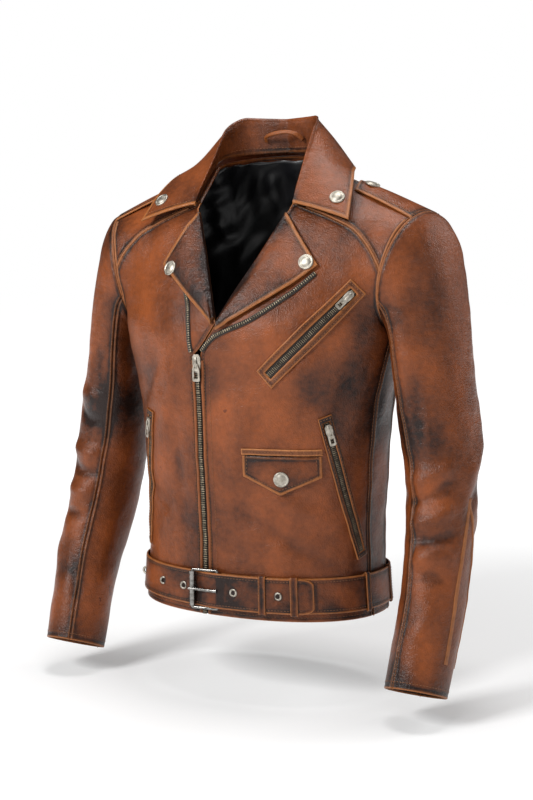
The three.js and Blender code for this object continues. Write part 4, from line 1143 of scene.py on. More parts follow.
class Repeats:
    """Small parts that are set along paths: stitches, zip teeth and eyelets."""

    def __init__(self) -> None:
        """Make the parts that are repeated."""
        self.parts = {
            "stitch": self._part("stitch_part", *self._capsule(2.9, 0.62, 0.42)),
            "tooth": self._part("tooth_part", *self._tooth()),
            "small_tooth": self._part("small_tooth_part", *self._tooth(0.82)),
            "eyelet": self._part("eyelet_part", *self._eyelet()),
        }

    @staticmethod
    def _part(name: str, points: Array, faces: Sequence) -> bpy.types.Object:
        """A hidden object to be repeated."""
        mesh = bpy.data.meshes.new(name)
        mesh.from_pydata((points * MM).tolist(), [], [list(f) for f in faces])
        mesh.shade_smooth()
        return bpy.data.objects.new(name, mesh)

    @staticmethod
    def _capsule(length: float, width: float, height: float) -> tuple[Array, list]:
        """One stitch: a short rounded bar that bows up in the middle."""
        sections = []
        for t, k in ((-1, 0.25), (-0.8, 0.8), (0, 1), (0.8, 0.8), (1, 0.25)):
            angles = np.arange(6) * math.pi / 3
            ring = [(math.cos(a) * width / 2 * k, math.sin(a) * height * k) for a in angles]
            lift = 0.16 * (1 - t * t) - 0.05
            sections.append([(t * length / 2, y, z + lift) for y, z in ring])
        return loft_parts(np.array(sections))

    @staticmethod
    def _tooth(scale: float = 1.0) -> tuple[Array, list]:
        """One zip tooth: a block with a knob, that reaches in from its tape towards +Y."""
        sections = []
        block = ((-2.3, 0.55, 0.5), (-1.9, 0.62, 0.85), (0.1, 0.62, 0.95), (1.15, 0.8, 0.8), (1.5, 0.5, 0.5))
        for y, half, high in block:
            ring = [(-half, -0.4), (half, -0.4), (half, high * 0.7),
                    (half * 0.6, high), (-half * 0.6, high), (-half, high * 0.7)]
            sections.append([(x * scale, y * scale, z * scale) for x, z in ring])
        return loft_parts(np.array(sections))

    @staticmethod
    def _eyelet() -> tuple[Array, list]:
        """A rolled metal ring."""
        ring = ((3.0, -1.2), (3.2, 0.5), (3.9, 0.95), (4.8, 0.75),
                (5.4, 0.1), (5.3, -0.2), (3.9, -0.3), (3.4, -1.2))
        sections = []
        for a in np.arange(28) * 2 * math.pi / 28:
            sections.append([(r * math.cos(a), r * math.sin(a), h) for r, h in ring])
        return loft_parts(np.array(sections), ring=True)

    def run(self, name: str, part: str, paths: Sequence[tuple[Array, Array]], pitch: float, finish: Finish,
            rig: Rig) -> bpy.types.Object:
        """Set a part along paths.

        Args:
            name: the piece's name.
            part: which small part.
            paths: for each path its points, in millimetres, and the outward direction at each.
            pitch: the step between parts, in millimetres.
            finish: what they are made of.
            rig: what moves them.

        Returns:
            The piece, as plain mesh.
        """
        points = np.concatenate([p for p, _ in paths]) * MM
        ups = np.concatenate([u for _, u in paths])
        edges, start = [], 0
        for p, _ in paths:
            edges += [(i, i + 1) for i in range(start, start + len(p) - 1)]
            start += len(p)
        mesh = bpy.data.meshes.new(name + "_path")
        mesh.from_pydata(points.tolist(), edges, [])
        layer = mesh.attributes.new("up", "FLOAT_VECTOR", "POINT")
        layer.data.foreach_set("vector", ups.astype(np.float32).reshape(-1))
        path = bpy.data.objects.new(name + "_path", mesh)
        bpy.context.scene.collection.objects.link(path)
        modifier = path.modifiers.new("run", "NODES")
        modifier.node_group = RunTree.get()
        values = {"Part": self.parts[part], "Pitch": pitch * MM, "Material": finish.material()}
        for item in modifier.node_group.interface.items_tree:
            if item.in_out == "INPUT" and item.name in values:
                modifier[item.identifier] = values[item.name]
        path.update_tag()
        baked = bpy.data.meshes.new_from_object(path.evaluated_get(bpy.context.evaluated_depsgraph_get()))
        baked.name = name
        bpy.data.objects.remove(path)
        bpy.data.meshes.remove(mesh)
        obj = bpy.data.objects.new(name, baked)
        bpy.context.scene.collection.objects.link(obj)
        rig(obj)
        log.info("%s: %d faces", name, len(baked.polygons))
        return obj

    def stitches(self, name: str, paths: Sequence[tuple[Array, Array]], rig: Rig, pitch: float = 4.2) -> None:
        """Sew along paths."""
        self.run(name, "stitch", paths, pitch, Finish.THREAD, rig)


# ---------- the garment ----------
GAP_U, GAP_V = 0.6 / 520, 0.6 / 1100
SEAM_U = SIDE_SEAM - GAP_U
AT_STITCH = 5  # the grid line of EDGE that lies STITCH_IN from the edge
AT_RIM_STITCH = 7  # and the one just inside a worn rim
FORM = JacketForm()
REPEATS = Repeats()
SHELL = rides("shell")

# Patches of painted shade mixed with burnish, which turn to painted highlights where the strength is
# negative: a middle on the jacket, a radius and a strength.
SHADOWS = [
    ((150, -80, -240), 62, 0.62), ((178, -40, -300), 50, 0.6), ((120, -80, -150), 34, 0.35),
    ((-70, -110, -190), 36, 0.55), ((-140, -80, -420), 44, 0.4), ((-60, -120, -420), 40, 0.2),
    ((150, -60, -520), 40, 0.4), ((-30, -120, -300), 24, 0.35), ((40, -128, -340), 34, -0.2),
    ((10, -125, -480), 40, -0.15), ((0, 110, -250), 90, 0.25), ((0, 100, -540), 60, 0.4),
    ((60, -120, -560), 40, 0.2), ((-110, -90, -540), 40, 0.35),
]
# The sleeves' patches, given on the left: painted shade mixed with burnish, darkest on the inner arm beside
# the body and round the elbow.
SLEEVE_SHADOWS = {
    1: [((270, -50, -240), 44, 0.45), ((240, -60, -380), 40, 0.35), ((270, -60, -470), 36, 0.5),
        ((225, -30, -330), 40, 0.6), ((280, -60, -600), 40, 0.25), ((300, -20, -520), 36, 0.4),
        ((285, -20, -150), 40, 0.25), ((262, -80, -640), 30, 0.2)],
    -1: [((240, -50, -250), 40, 0.4), ((236, -50, -420), 40, 0.6), ((240, -90, -560), 40, 0.6),
         ((280, -50, -540), 30, 0.45), ((262, -70, -330), 30, 0.3), ((270, -90, -630), 36, 0.45),
         ((225, -30, -330), 40, 0.6)],
}


def shadow(points: Array, patches: Sequence[tuple]) -> Array:
    """How dark the burnish mottling and the painted shade are at each point: soft random mottling, and
    patches of painted shade that turn to painted highlights where their strength is negative.
    """
    total = 0.22 * ripple(points, 120, 29) + 0.12 * ripple(points, 46, 31)
    for middle, radius, strength in patches:
        total = total + strength * bump(np.linalg.norm(points - vec(*middle), axis=-1), radius)
    return total


def edge_path(sheet: Sheet, i: int | None = None, j: int | None = None, span: slice = slice(None)) -> tuple:
    """A grid line of a finished sheet, as a path for stitches."""
    if i is not None:
        return sheet.top[i, span] + sheet.out[i, span] * 0.15, sheet.out[i, span]
    return sheet.top[span, j] + sheet.out[span, j] * 0.15, sheet.out[span, j]


class Torso:
    """The body of the jacket: fronts, yokes, side panels, back and the trims on their seams."""

    ROWS_LOW = graded(366, 3.6, EDGE, EDGE)
    ROWS_TOP = graded(155, 3.4, EDGE, EDGE)
    COLUMNS = graded(205, 3.6, EDGE, EDGE)
    COLUMNS_OUT = graded(40, 3.4, EDGE, EDGE)

    def _folded(self, p: Array, n: Array) -> tuple[Array, Array, Array]:
        """The points with their folds, the outward directions there, and the folds' heights."""
        relief = FORM.torso_fold(p)
        raised = p + n * relief[..., None]
        return raised, grid_normal(raised, n), relief

    def _sheet(self, name: str, surface: Callable, u: Array, v: Array, mirror: int = 1, **facts) -> Sheet:
        """A panel over places on a surface."""
        p, n = surface(u, v), surface_normal(surface, u, v)
        p, n = mirrored(p, mirror), mirrored(n, mirror)
        raised, out, relief = self._folded(p, n)
        return Sheet(name, raised, out, S.leather, relief=relief, shade=shadow(p, SHADOWS), **facts)

    def build(self) -> None:
        """Make every piece of the body."""
        for name, side in SIDES.items():
            self._front(name, side)
            self._yoke(name, side)
            self._side(name, side)
            self._trims(name, side)
        self._back()

    def _front(self, name: str, side: int) -> None:
        """A front panel, from the zip and the lapel's roll to the side seam and armhole."""
        c = np.concatenate([self.COLUMNS, 1 + self.COLUMNS_OUT[1:]])
        r = np.concatenate([self.ROWS_LOW, 1 + self.ROWS_TOP[1:]])
        share = np.minimum(c, 1) * SEAM_U + np.maximum(c - 1, 0) * (1 - SEAM_U)
        low = lerp(0.001, V_PIT, np.minimum(r, 1))[None, :]
        high = lerp(V_PIT, (FORM.yoke(share) - GAP_V)[:, None], np.maximum(r - 1, 0)[None, :])
        v = np.where(r[None, :] <= 1, low, high)
        start = FORM.meeting_u(v, side)
        u = np.where(c[:, None] <= 1, lerp(start, SEAM_U, np.minimum(c, 1)[:, None]), share[:, None])
        u = np.where(np.abs(u) < 1e-6, 1e-6, u)
        keep = (c[:-1, None] < 1) | (r[None, :-1] >= 1)
        keep = keep & np.ones((len(c) - 1, len(r) - 1), bool)
        panel = self._sheet(f"front_{name}", FORM.front, side * u, v, keep=keep, rim=1.0,
                            free=lambda i, j: i == 0 or j == 0)
        panel.build(Finish.HIDE, SHELL, [f"front_panel_{name}"])
        roll = int(np.searchsorted(r, 1 + 0.02))
        seam = len(self.COLUMNS) - 1
        low_rows = len(self.ROWS_LOW)
        paths = [
            edge_path(panel, i=AT_STITCH, span=slice(6, roll)),
            edge_path(panel, j=AT_RIM_STITCH, span=slice(3, seam - 2)),
            edge_path(panel, i=seam - AT_STITCH, span=slice(6, low_rows)),
            edge_path(panel, j=-1 - AT_STITCH, span=slice(8, None)),
            edge_path(panel, i=-1 - AT_STITCH, span=slice(low_rows + 4, None)),
        ]
        off = 17 if side > 0 else -10
        z = np.linspace(HEM + 12, S.zip_top - 2, 90)
        far = FORM.on_front(S.zip_line + off, z, 0.15)
        out = unit(FORM.on_front(S.zip_line + off, z, 5.0) - far)
        REPEATS.stitches(f"front_stitches_{name}", [*paths, (far, out)], SHELL)

    def _yoke(self, name: str, side: int) -> None:
        """A front yoke, from the yoke seam to the shoulder."""
        u = np.concatenate([np.maximum(self.COLUMNS * SEAM_U, 1e-6), lerp(SEAM_U, 1, self.COLUMNS_OUT[1:])])
        r = graded(90, 4.0, EDGE, EDGE)
        v = lerp((FORM.yoke(u) + GAP_V)[:, None], 1 - GAP_V, r[None, :])
        sheet = self._sheet(f"yoke_{name}", FORM.front, side * np.broadcast_to(u[:, None], v.shape), v)
        sheet.build(Finish.HIDE, SHELL, [f"front_yoke_{name}"])
        REPEATS.stitches(f"yoke_stitches_{name}", [edge_path(sheet, j=AT_STITCH, span=slice(8, None))], SHELL)

    def _side(self, name: str, side: int) -> None:
        """A side panel, from hem to armpit."""
        q = lerp(SIDE_SEAM + GAP_U, 2 - SIDE_SEAM - GAP_U, graded(92, 3.6, EDGE, EDGE))
        v = lerp(0.001, V_PIT - GAP_V, self.ROWS_LOW)
        q, v = np.meshgrid(q, v, indexing="ij")
        p = FORM.around(q, v)
        n = np.where((q <= 1)[..., None], surface_normal(FORM.front, np.minimum(q, 1), v),
                     surface_normal(FORM.back, np.minimum(2 - q, 1), v))
        p, n = mirrored(p, side), mirrored(n, side)
        raised, out, relief = self._folded(p, n)
        # Painted shade: the side panel, under the arm, is darker all over.
        shade = shadow(p, SHADOWS) + 0.25
        sheet = Sheet(f"side_{name}", raised, out, S.leather, relief=relief, shade=shade, rim=1.0,
                      free=lambda i, j: j == 0)
        sheet.build(Finish.HIDE, SHELL, [f"side_panel_{name}"])
        ends = [edge_path(sheet, i=AT_STITCH), edge_path(sheet, i=-1 - AT_STITCH),
                edge_path(sheet, j=AT_RIM_STITCH)]
        REPEATS.stitches(f"side_stitches_{name}", ends, SHELL)

    def _back(self) -> None:
        """The back panel and the back yoke."""
        inner = lerp(0, SEAM_U, graded(200, 4.2, (), EDGE))
        half = np.concatenate([inner, lerp(SEAM_U, 1, self.COLUMNS_OUT[1:])])
        u = np.concatenate([-half[:0:-1], half])
        r = np.concatenate([self.ROWS_LOW, 1 + self.ROWS_TOP[1:]])
        v = np.where(r <= 1, lerp(0.001, V_PIT, r), lerp(V_PIT, BACK_YOKE - GAP_V, r - 1))
        middle = (np.abs(u[:-1] + u[1:]) / 2) < SEAM_U
        keep = middle[:, None] | (r[None, :-1] >= 1)
        uu, vv = np.meshgrid(u, v, indexing="ij")
        panel = self._sheet("back", FORM.back, uu, vv, keep=keep, rim=1.0, free=lambda i, j: j == 0)
        panel.build(Finish.HIDE, SHELL, ["back_panel"])
        v = lerp(BACK_YOKE + GAP_V, 1 - GAP_V, graded(85, 4.0, EDGE, EDGE))
        uu, vv = np.meshgrid(u, v, indexing="ij")
        yoke = self._sheet("back_yoke", FORM.back, uu, vv)
        yoke.build(Finish.HIDE, SHELL, ["back_yoke"])
        REPEATS.stitches("back_stitches", [
            edge_path(panel, j=-1 - AT_STITCH), edge_path(yoke, j=AT_STITCH),
            edge_path(panel, j=AT_RIM_STITCH),
        ], SHELL)

    def _trims(self, name: str, side: int) -> None:
        """Piping on the yoke seam, and a strip beside the armhole."""
        u = np.linspace(0.12, 0.985, 70)
        v = FORM.yoke(u)
        parts = []
        for us, vs in ((u, v), (np.full(60, 0.972), np.linspace(0.635, 0.93, 60))):
            p, n = FORM.front(us, vs), surface_normal(FORM.front, us, vs)
            p, n = mirrored(p, side), mirrored(n, side)
            p = p + n * (FORM.torso_fold(p) - 0.2)[..., None]
            parts.append(loft_parts(ribbon(p, n, 3.4, 1.3, 1.2)))
        points, faces = together(parts)
        make(f"seam_piping_{name}", points, faces, Finish.TRIM, SHELL, numbers={
            "burnish_and_shade": np.full(len(points), 0.4), "wear": np.full(len(points), 0.3)})


@dataclass(frozen=True)
class Cut:
    """The flat size of a lining piece before it is sewn: width, length and area, in metres."""

    width: float
    length: float
    area: float


class Lining:
    """Black satin inside the body and the sleeves.

    The cuts are set from the garment's sizes, and read no mesh: a chest of 1.05 m round, 0.26 m a
    front and 0.52 m the back, each with ease; 0.65 m from shoulder to hem; sleeves 0.45 m round the armhole,
    0.26 m round the cuff, 0.61 m long outside and 0.45 m inside. Neck and armholes are taken out of the
    body's areas.
    """

    FRONT_CUT = Cut(0.28, 0.65, 0.131)
    BACK_CUT = Cut(0.56, 0.65, 0.295)
    SLEEVE_CUT = Cut(0.45, 0.62, 0.188)

    def build(self) -> None:
        """Make every lining piece."""
        for name, side in SIDES.items():
            u = np.linspace(0.03, 0.985, 46)
            v = np.linspace(0.03, 0.985, 130)
            uu, vv = np.meshgrid(u, v, indexing="ij")
            start = np.maximum(FORM.meeting_u(vv, side), -0.15)
            uu = lerp(start + 0.03, 0.985, (uu - 0.03) / 0.955)
            self._piece(f"lining_front_{name}", FORM.front, side * uu, vv, f"lining_front_{name}")
            self._sleeve(name, side)
        uu, vv = np.meshgrid(np.linspace(-0.985, 0.985, 110), np.linspace(0.03, 0.992, 130), indexing="ij")
        self._piece("lining_back", FORM.back, uu, vv, "lining_back", gather=2.6)

    def _piece(self, name: str, surface: Callable, u: Array, v: Array, node: str,
               gather: float = 1.2) -> None:
        """One panel of the body's lining, with soft folds that hang down."""
        p, n = surface(u, v), surface_normal(surface, u, v)
        pleats = gather * (0.6 + ripple(p * vec(1, 1, 0.18), 26, 41, 5)) + 0.6 * ripple(p, 30, 43)
        hung = p + n * (FORM.torso_fold(p) - 4.0 - np.clip(pleats, -0.4, 7))[..., None]
        sheet = Sheet(name, hung, grid_normal(hung, n), 0.5, seam_depth=0, puff=0)
        obj = sheet.build(Finish.LINING, SHELL, [node])
        self._declare(obj, self.BACK_CUT if surface == FORM.back else self.FRONT_CUT)

    def _sleeve(self, name: str, side: int) -> None:
        """The lining tube of one sleeve."""
        t = np.linspace(0, 2 * math.pi, 64, endpoint=False)
        s = np.linspace(0.004, 0.982, 90)
        tt, ss = np.meshgrid(t, s, indexing="ij")
        p = FORM.sleeve(ss, tt)
        out = unit(p - (FORM.outer(ss) + FORM.inner(ss)) / 2)
        relief = FORM.sleeve_fold(p, side) * smooth((ss - 0.02) / 0.1) * smooth((1.0 - ss) / 0.09)
        p = p + out * (relief - 4.9 - 0.8 * np.sin(7 * tt + 5 * ss))[..., None]
        p, out = mirrored(p, side), mirrored(out, side)
        sheet = Sheet(f"sleeve_lining_{name}", p, out, 0.5, closed=True, seam_depth=0, puff=0)
        obj = sheet.build(Finish.LINING, Sleeve.rig(name, side), [f"sleeve_lining_{name}"])
        self._declare(obj, self.SLEEVE_CUT)

    @staticmethod
    def _declare(obj: bpy.types.Object, cut: Cut) -> None:
        """Take the piece and its cut, and do nothing with them."""


class Sleeve:
    """A two-piece sleeve with its elbow creases, cuff hem and placket strips."""

    FRONT_SEAM = 1.36 * math.pi
    BACK_SEAM = 0.6 * math.pi
    LENGTH = 610

    def __init__(self, name: str, side: int) -> None:
        """Choose the side."""
        self.name, self.side = name, side

    @staticmethod
    def rig(name: str, side: int) -> Rig:
        """A rig that only bakes the piece's transform into its mesh."""
        return lambda obj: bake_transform(obj)

    def _skin(self, s: Array, t: Array, lift: float = 0.0) -> tuple[Array, Array, Array]:
        """Points of the folded sleeve on its own side, outward directions and fold heights."""
        p = FORM.sleeve(s, t)
        out = unit(p - (FORM.outer(s) + FORM.inner(s)) / 2)
        head = 2.2 * bump(s - 0.03, 0.028) * smooth((np.cos(t) + 0.9) / 0.9)
        relief = FORM.sleeve_fold(p, self.side) * smooth((s - 0.02) / 0.1) * smooth((1.0 - s) / 0.09)
        p = p + out * (relief + head + lift)[..., None]
        return mirrored(p, self.side), mirrored(out, self.side), relief

    def build(self) -> None:
        """Make both halves with their stitches, and the trims."""
        rig = self.rig(self.name, self.side)
        s = graded(self.LENGTH, 3.6, EDGE, (*EDGE, 9.0, 11.0))
        spans = {"upper": (self.FRONT_SEAM - 2 * math.pi, self.BACK_SEAM, 240),
                 "under": (self.BACK_SEAM, self.FRONT_SEAM, 150)}
        for part, (a, b, length) in spans.items():
            t = lerp(a, b, graded(length, 3.6, EDGE, EDGE))
            tt, ss = np.meshgrid(t, s, indexing="ij")
            p, out, relief = self._skin(ss, tt)
            patches = SLEEVE_SHADOWS[self.side]
            shade = shadow(mirrored(p, self.side), patches) + 0.3 * bump(ss - 1, 0.06)
            sheet = Sheet(f"sleeve_{part}_{self.name}", p, grid_normal(p, out), S.leather,
                          relief=relief * 1.3, shade=shade, rim=1.8, free=lambda i, j: j == len(s) - 1)
            sheet.build(Finish.HIDE, rig, [f"sleeve_{part}_{self.name}"])
            paths = [edge_path(sheet, j=-1 - AT_RIM_STITCH - 1), edge_path(sheet, j=AT_STITCH)]
            if part == "upper":
                paths.append(edge_path(sheet, i=AT_STITCH))
                paths.append(edge_path(sheet, i=-1 - AT_STITCH))
            REPEATS.stitches(f"sleeve_{part}_stitches_{self.name}", paths, rig)
        self._placket(rig)

    def _placket(self, rig: Rig) -> None:
        """The forked strip above the cuff, at the back of the forearm, and a strip on the armhole seam."""
        parts = []
        for end, bow in ((-0.33, -0.13), (0.6, 0.15)):
            k = np.linspace(0, 1, 50)
            s = lerp(0.68, 0.95, k)
            t = lerp(-0.21, end, k) + bow * np.sin(np.pi * k)
            p, out, _ = self._skin(s, t, -0.2)
            parts.append(loft_parts(ribbon(p, out, 7.0, 1.4, 1.0, crown=0.3)))
        points, faces = together(parts)
        make(f"cuff_placket_{self.name}", points, faces, Finish.TRIM, rig, numbers={
            "burnish_and_shade": np.full(len(points), 0.2), "wear": np.full(len(points), 0.35)})
        t = np.linspace(0, 2 * math.pi, 120, endpoint=False)
        p, out, _ = self._skin(np.full(120, 0.004), t, -0.4)
        ring = loft_parts(ribbon_closed(p, out, 3.4, 1.5, 1.2), ring=True)
        make(f"armhole_piping_{self.name}", *ring, Finish.TRIM, rig, numbers={
            "burnish_and_shade": np.full(len(ring[0]), 0.45), "wear": np.full(len(ring[0]), 0.2)})


def ribbon_closed(path: Array, up: Array, width: float, height: float, sink: float) -> Array:
    """Sections of a band on a closed path."""
    wide = np.concatenate([path[-2:], path, path[:2]])
    ups = np.concatenate([up[-2:], up, up[:2]])
    return ribbon(wide, ups, width, height, sink)[2:-2]


class Collar:
    """The stand and the leaf in one rolled piece, with snaps at its corners and a hang loop inside."""

    def __init__(self) -> None:
        """Lay out the collar's grid."""
        self.w = lerp(-1, 1, graded(430, 3.6, EDGE, EDGE))
        leaf = graded(85, 3.6, (), EDGE)
        stand = np.linspace(0.04, 0.9, 16)
        self.stand_rows = len(stand)
        rows = []
        half = np.abs(self.w)
        seam, fold, edge = (mirror_table(c, self.w) for c in (FORM.neck_seam, FORM.fold_line, FORM.leaf_edge))
        down = unit(edge - fold)
        for t in stand:
            rows.append(lerp(seam, fold, t))
        over = unit(np.cross(np.gradient(fold, axis=0), down))
        over = np.where(over[:, 2:] < 0, -over, over)
        reach = 4.2 * (1 - smooth((half - 0.86) / 0.14)) + 0.6
        for a in (0.25, 0.5, 0.75):
            rolled = fold + over * (reach * math.sin(math.pi * a) * 0.7)[:, None]
            rows.append(rolled + down * (reach * (a - 0.5))[:, None])
        puff = 5.0 * (1 - 0.5 * half)
        for t in lerp(0.07, 1.0, leaf):
            bulge = puff * math.sin(math.pi * min(1.0, t)) ** 0.9 + 1.4
            rows.append(lerp(fold, edge, t) + over * bulge[:, None])
        grid = np.stack(rows, 1)
        wave = 1.2 * ripple(grid, 90, 51) * smooth((1 - half) / 0.2)[:, None] * 0.7
        self.over = np.broadcast_to(over[:, None], grid.shape)
        self.grid = grid + self.over * wave[..., None]
        n = unit(np.cross(np.gradient(self.grid, axis=0), np.gradient(self.grid, axis=1)))
        probe = (len(self.w) // 2, -len(leaf) // 2)
        if n[probe] @ over[probe[0]] < 0:
            n = -n
        self.out = n

    def build(self) -> None:
        """Make the collar, its border stitches and snaps, and the hang loop."""
        first_free = self.stand_rows + 2
        last = (len(self.w) - 1, self.grid.shape[1] - 1)
        # Painted shade mixed with burnish: darker patches behind the neck and at the collar's front corners,
        # and the stand, under the leaf, kept darker than the leaf.
        dark = [((0, 60, 50), 30, 0.2), ((115, -30, -40), 30, 0.35), ((-115, -40, -45), 34, 0.45)]
        shade = shadow(self.grid, dark)
        shade = shade - 0.18 * smooth((np.arange(self.grid.shape[1]) - first_free) / 6)[None, :]
        sheet = Sheet("collar", self.grid, self.out, 2.4, rim=4.4, shade=shade, seam_depth=0.4, puff=0,
                      free=lambda i, j: j == last[1] or (i in (0, last[0]) and j >= first_free))
        sheet.build(Finish.HIDE, SHELL, ["collar_leaf", "collar_stand"])
        inner = slice(AT_RIM_STITCH, -AT_RIM_STITCH)
        paths = [edge_path(sheet, j=-1 - AT_RIM_STITCH, span=inner)]
        for i in (AT_RIM_STITCH, -1 - AT_RIM_STITCH):
            paths.append(edge_path(sheet, i=i, span=slice(first_free + 2, -AT_RIM_STITCH)))
        paths.append(edge_path(sheet, j=3, span=slice(40, -40)))
        REPEATS.stitches("collar_stitches", paths, SHELL)
        for name, side in SIDES.items():
            i = len(self.w) - 12 if side > 0 else 11
            j = self.grid.shape[1] - 13
            Snap.make(f"collar_snap_{name}", sheet.top[i, j] - sheet.out[i, j] * 0.4, sheet.out[i, j], SHELL)
        self._loop()

    @staticmethod
    def _loop() -> None:
        """The leather hang loop."""
        path = [(-27, 50.8, 27), (-26, 46, 33), (-12, 41.5, 38),
                (5, 40.5, 40), (20, 42, 37.5), (30, 49.2, 29)]
        curve = Table(np.linspace(0, 1, 6), path)
        p = curve(np.linspace(0, 1, 40))
        p[:, 2] += 4
        up = unit(np.stack([0 * p[:, 0], np.full(40, -1.0), np.full(40, 0.35)], -1))
        sections = ribbon(p, up, 5.4, 1.0, 1.0, crown=0.4)
        n = sections.shape[0] * sections.shape[1]
        loft("hang_loop", sections, Finish.HIDE, SHELL, ["hang_loop"], numbers={
            "burnish_and_shade": np.full(n, 0.1), "wear": np.full(n, 0.3)})


def mirror_table(table: Table, w: Array) -> Array:
    """A half curve's points for w from -1 to 1."""
    p = table(np.abs(w))
    p[:, 0] *= np.where(w < 0, -1, 1)
    return p


class Snap:
    """A domed snap with a rolled ring."""

    PROFILE = ((0, -0.6), (9.2, -0.6), (9.9, 0.2), (9.9, 1.3), (9.3, 2.0),
               (8.5, 2.15), (7.8, 1.8), (7.3, 1.55),
               (6.6, 1.8), (5.2, 2.5), (3.4, 2.95), (1.6, 3.15), (0, 3.2))

    @classmethod
    def make(cls, name: str, origin: Array, axis: Array, rig: Rig) -> None:
        """Set a snap down on the leather."""
        points, faces = lathe(cls.PROFILE, origin, axis, 48)
        make(name, points, faces, Finish.SILVER, rig, [name])


@dataclass(frozen=True)
class LapelShape:
    """Where a lapel's tip and lowest point are on the front, as x and z, and how far its edge bellies."""

    tip: tuple
    low: tuple
    belly: float
    shadows: tuple


LAPELS = {
    "left": LapelShape((124, -131), (-1, -217), 5, (
        ((90, -100, -150), 26, 0.25), ((10, -130, -190), 40, 0.5))),
    "right": LapelShape((-106, -132), (2, -211), 2, (
        ((-60, -105, -150), 44, 0.85), ((-20, -120, -190), 30, 0.5))),
}


class Lapel:
    """A lapel, rolled back from the front's edge, with its worn border and snap."""

    def __init__(self, name: str, side: int) -> None:
        """Choose the side."""
        self.name, self.side, self.shape = name, side, LAPELS[name]

    def build(self) -> None:
        """Make the lapel."""
        shape, side = self.shape, self.side
        a = lerp(0.03, 0.965, graded(155, 3.2, EDGE, EDGE))
        b = graded(92, 3.2, (), EDGE)
        roll = lerp(vec(0, BREAK - 4), vec(GORGE[0] * side, GORGE[2] - 3), a[:, None])
        outer = lerp(vec(*shape.low), vec(*shape.tip), a[:, None])
        outer[:, 1] -= shape.belly * np.sin(np.pi * a)
        place = lerp(roll[:, None], outer[:, None], b[None, :, None])
        x = side * np.maximum(side * place[..., 0], 0.6)
        lift = 3.3 + 2.2 * smooth(b / 0.3) + 2.2 * np.sin(np.pi * np.minimum(1, b)) ** 0.8
        leaf = FORM.on_front(x, place[..., 1], np.broadcast_to(lift, x.shape))
        base = FORM.on_front(x[:, :1], place[:, :1, 1], 0.0)[:, 0]
        across = unit(leaf[:, 3] - leaf[:, 0])
        up = unit(FORM.on_front(x[:, :1], place[:, :1, 1], 5.0)[:, 0] - base)
        across = unit(across - up * np.sum(across * up, -1, keepdims=True))
        middle = base - up * 1.2
        turns = np.radians([150, 128, 106, 84, 62, 42, 22])
        wrap = [middle + (up * math.cos(f) - across * math.sin(f)) * 4.5 for f in turns]
        grid = np.concatenate([np.stack(wrap, 1), leaf], 1)
        n = unit(np.cross(np.gradient(grid, axis=0), np.gradient(grid, axis=1)))
        if n[len(a) // 2, -4] @ up[len(a) // 2] < 0:
            n = -n
        # Painted shade: darker along the roll and over the turned-under wrap, where the lapel folds back over
        # itself.
        near_roll = bump(np.concatenate([np.zeros(7), b]), 0.12)
        shade = shadow(grid, list(shape.shadows)) + 0.3 * near_roll[None, :]
        last = grid.shape[1] - 1
        rig = rides(f"lapel_{self.name}")
        sheet = Sheet(f"lapel_{self.name}", grid, n, 2.0, rim=4.4, shade=shade, seam_depth=0.4, puff=0,
                      free=lambda i, j: j == last or (i == len(a) - 1 and j > 7))
        sheet.build(Finish.HIDE, rig, [f"lapel_{self.name}"])
        REPEATS.stitches(f"lapel_stitches_{self.name}", [
            edge_path(sheet, j=-1 - AT_RIM_STITCH, span=slice(4, -AT_RIM_STITCH)),
            edge_path(sheet, i=-1 - AT_RIM_STITCH, span=slice(8, -AT_RIM_STITCH)),
        ], rig)
        spot = (106, -128) if side > 0 else (-89, -138)
        away = np.hypot(sheet.top[..., 0] - spot[0], sheet.top[..., 2] - spot[1])
        k = np.unravel_index(np.argmin(away), grid.shape[:2])
        Snap.make(f"lapel_snap_{self.name}", sheet.top[k] - n[k] * 0.4, n[k], rig)


class Epaulette:
    """A shoulder strap with a snap at its inner end."""

    def __init__(self, name: str, side: int) -> None:
        """Choose the side."""
        self.name, self.side = name, side

    def build(self) -> None:
        """Make the strap."""
        side = self.side
        a = lerp(-1, 1, graded(62, 3.0, EDGE, EDGE))
        b = graded(96, 3.2, EDGE, EDGE)
        aa, bb = np.meshgrid(a, b, indexing="ij")
        tip = 0.04 * np.abs(aa) * (1 - smooth(bb / 0.22))
        u = lerp(0.4, 0.985, bb + tip * (1 - bb))
        reach = np.abs(aa) * lerp(0.042, 0.062, bb)
        ahead = FORM.front(u, 1 - reach)
        behind = FORM.back(lerp(U_NECK, 1, u), 1 - reach * 0.8)
        p = np.where((aa < 0)[..., None], ahead, behind)
        near = smooth((0.25 - np.abs(aa)) / 0.25)[..., None]
        out = FORM.outward(p)
        p = p + out * (4.0 + 1.6 * np.sin(np.pi * bb) - 0.5 * near[..., 0])[..., None]
        for _ in range(3):
            p[1:-1] = (p[:-2] + 2 * p[1:-1] + p[2:]) / 4
        p, out = mirrored(p, side), mirrored(out, side)
        rig = rides(f"epaulette_{self.name}")
        n = grid_normal(p, out)
        # Burnish and painted shade near the strap's outer end, by the shoulder.
        shade = shadow(p, [((side * 200, -20, -70), 26, 0.4)])
        sheet = Sheet(f"epaulette_{self.name}", p, n, 2.2, rim=3.4, seam_depth=0.5, puff=0, shade=shade,
                      free=lambda i, j: j < len(b) - 1)
        sheet.build(Finish.HIDE, rig, [f"epaulette_{self.name}"])
        REPEATS.stitches(f"epaulette_stitches_{self.name}", [
            edge_path(sheet, i=AT_RIM_STITCH, span=slice(AT_RIM_STITCH, None)),
            edge_path(sheet, i=-1 - AT_RIM_STITCH, span=slice(AT_RIM_STITCH, None)),
            edge_path(sheet, j=AT_RIM_STITCH, span=slice(AT_RIM_STITCH, -AT_RIM_STITCH)),
        ], rig)
        k = (len(a) // 2, int(np.searchsorted(b, 0.16)))
        Snap.make(f"epaulette_snap_{self.name}", sheet.top[k] - n[k] * 0.4, n[k], rig)


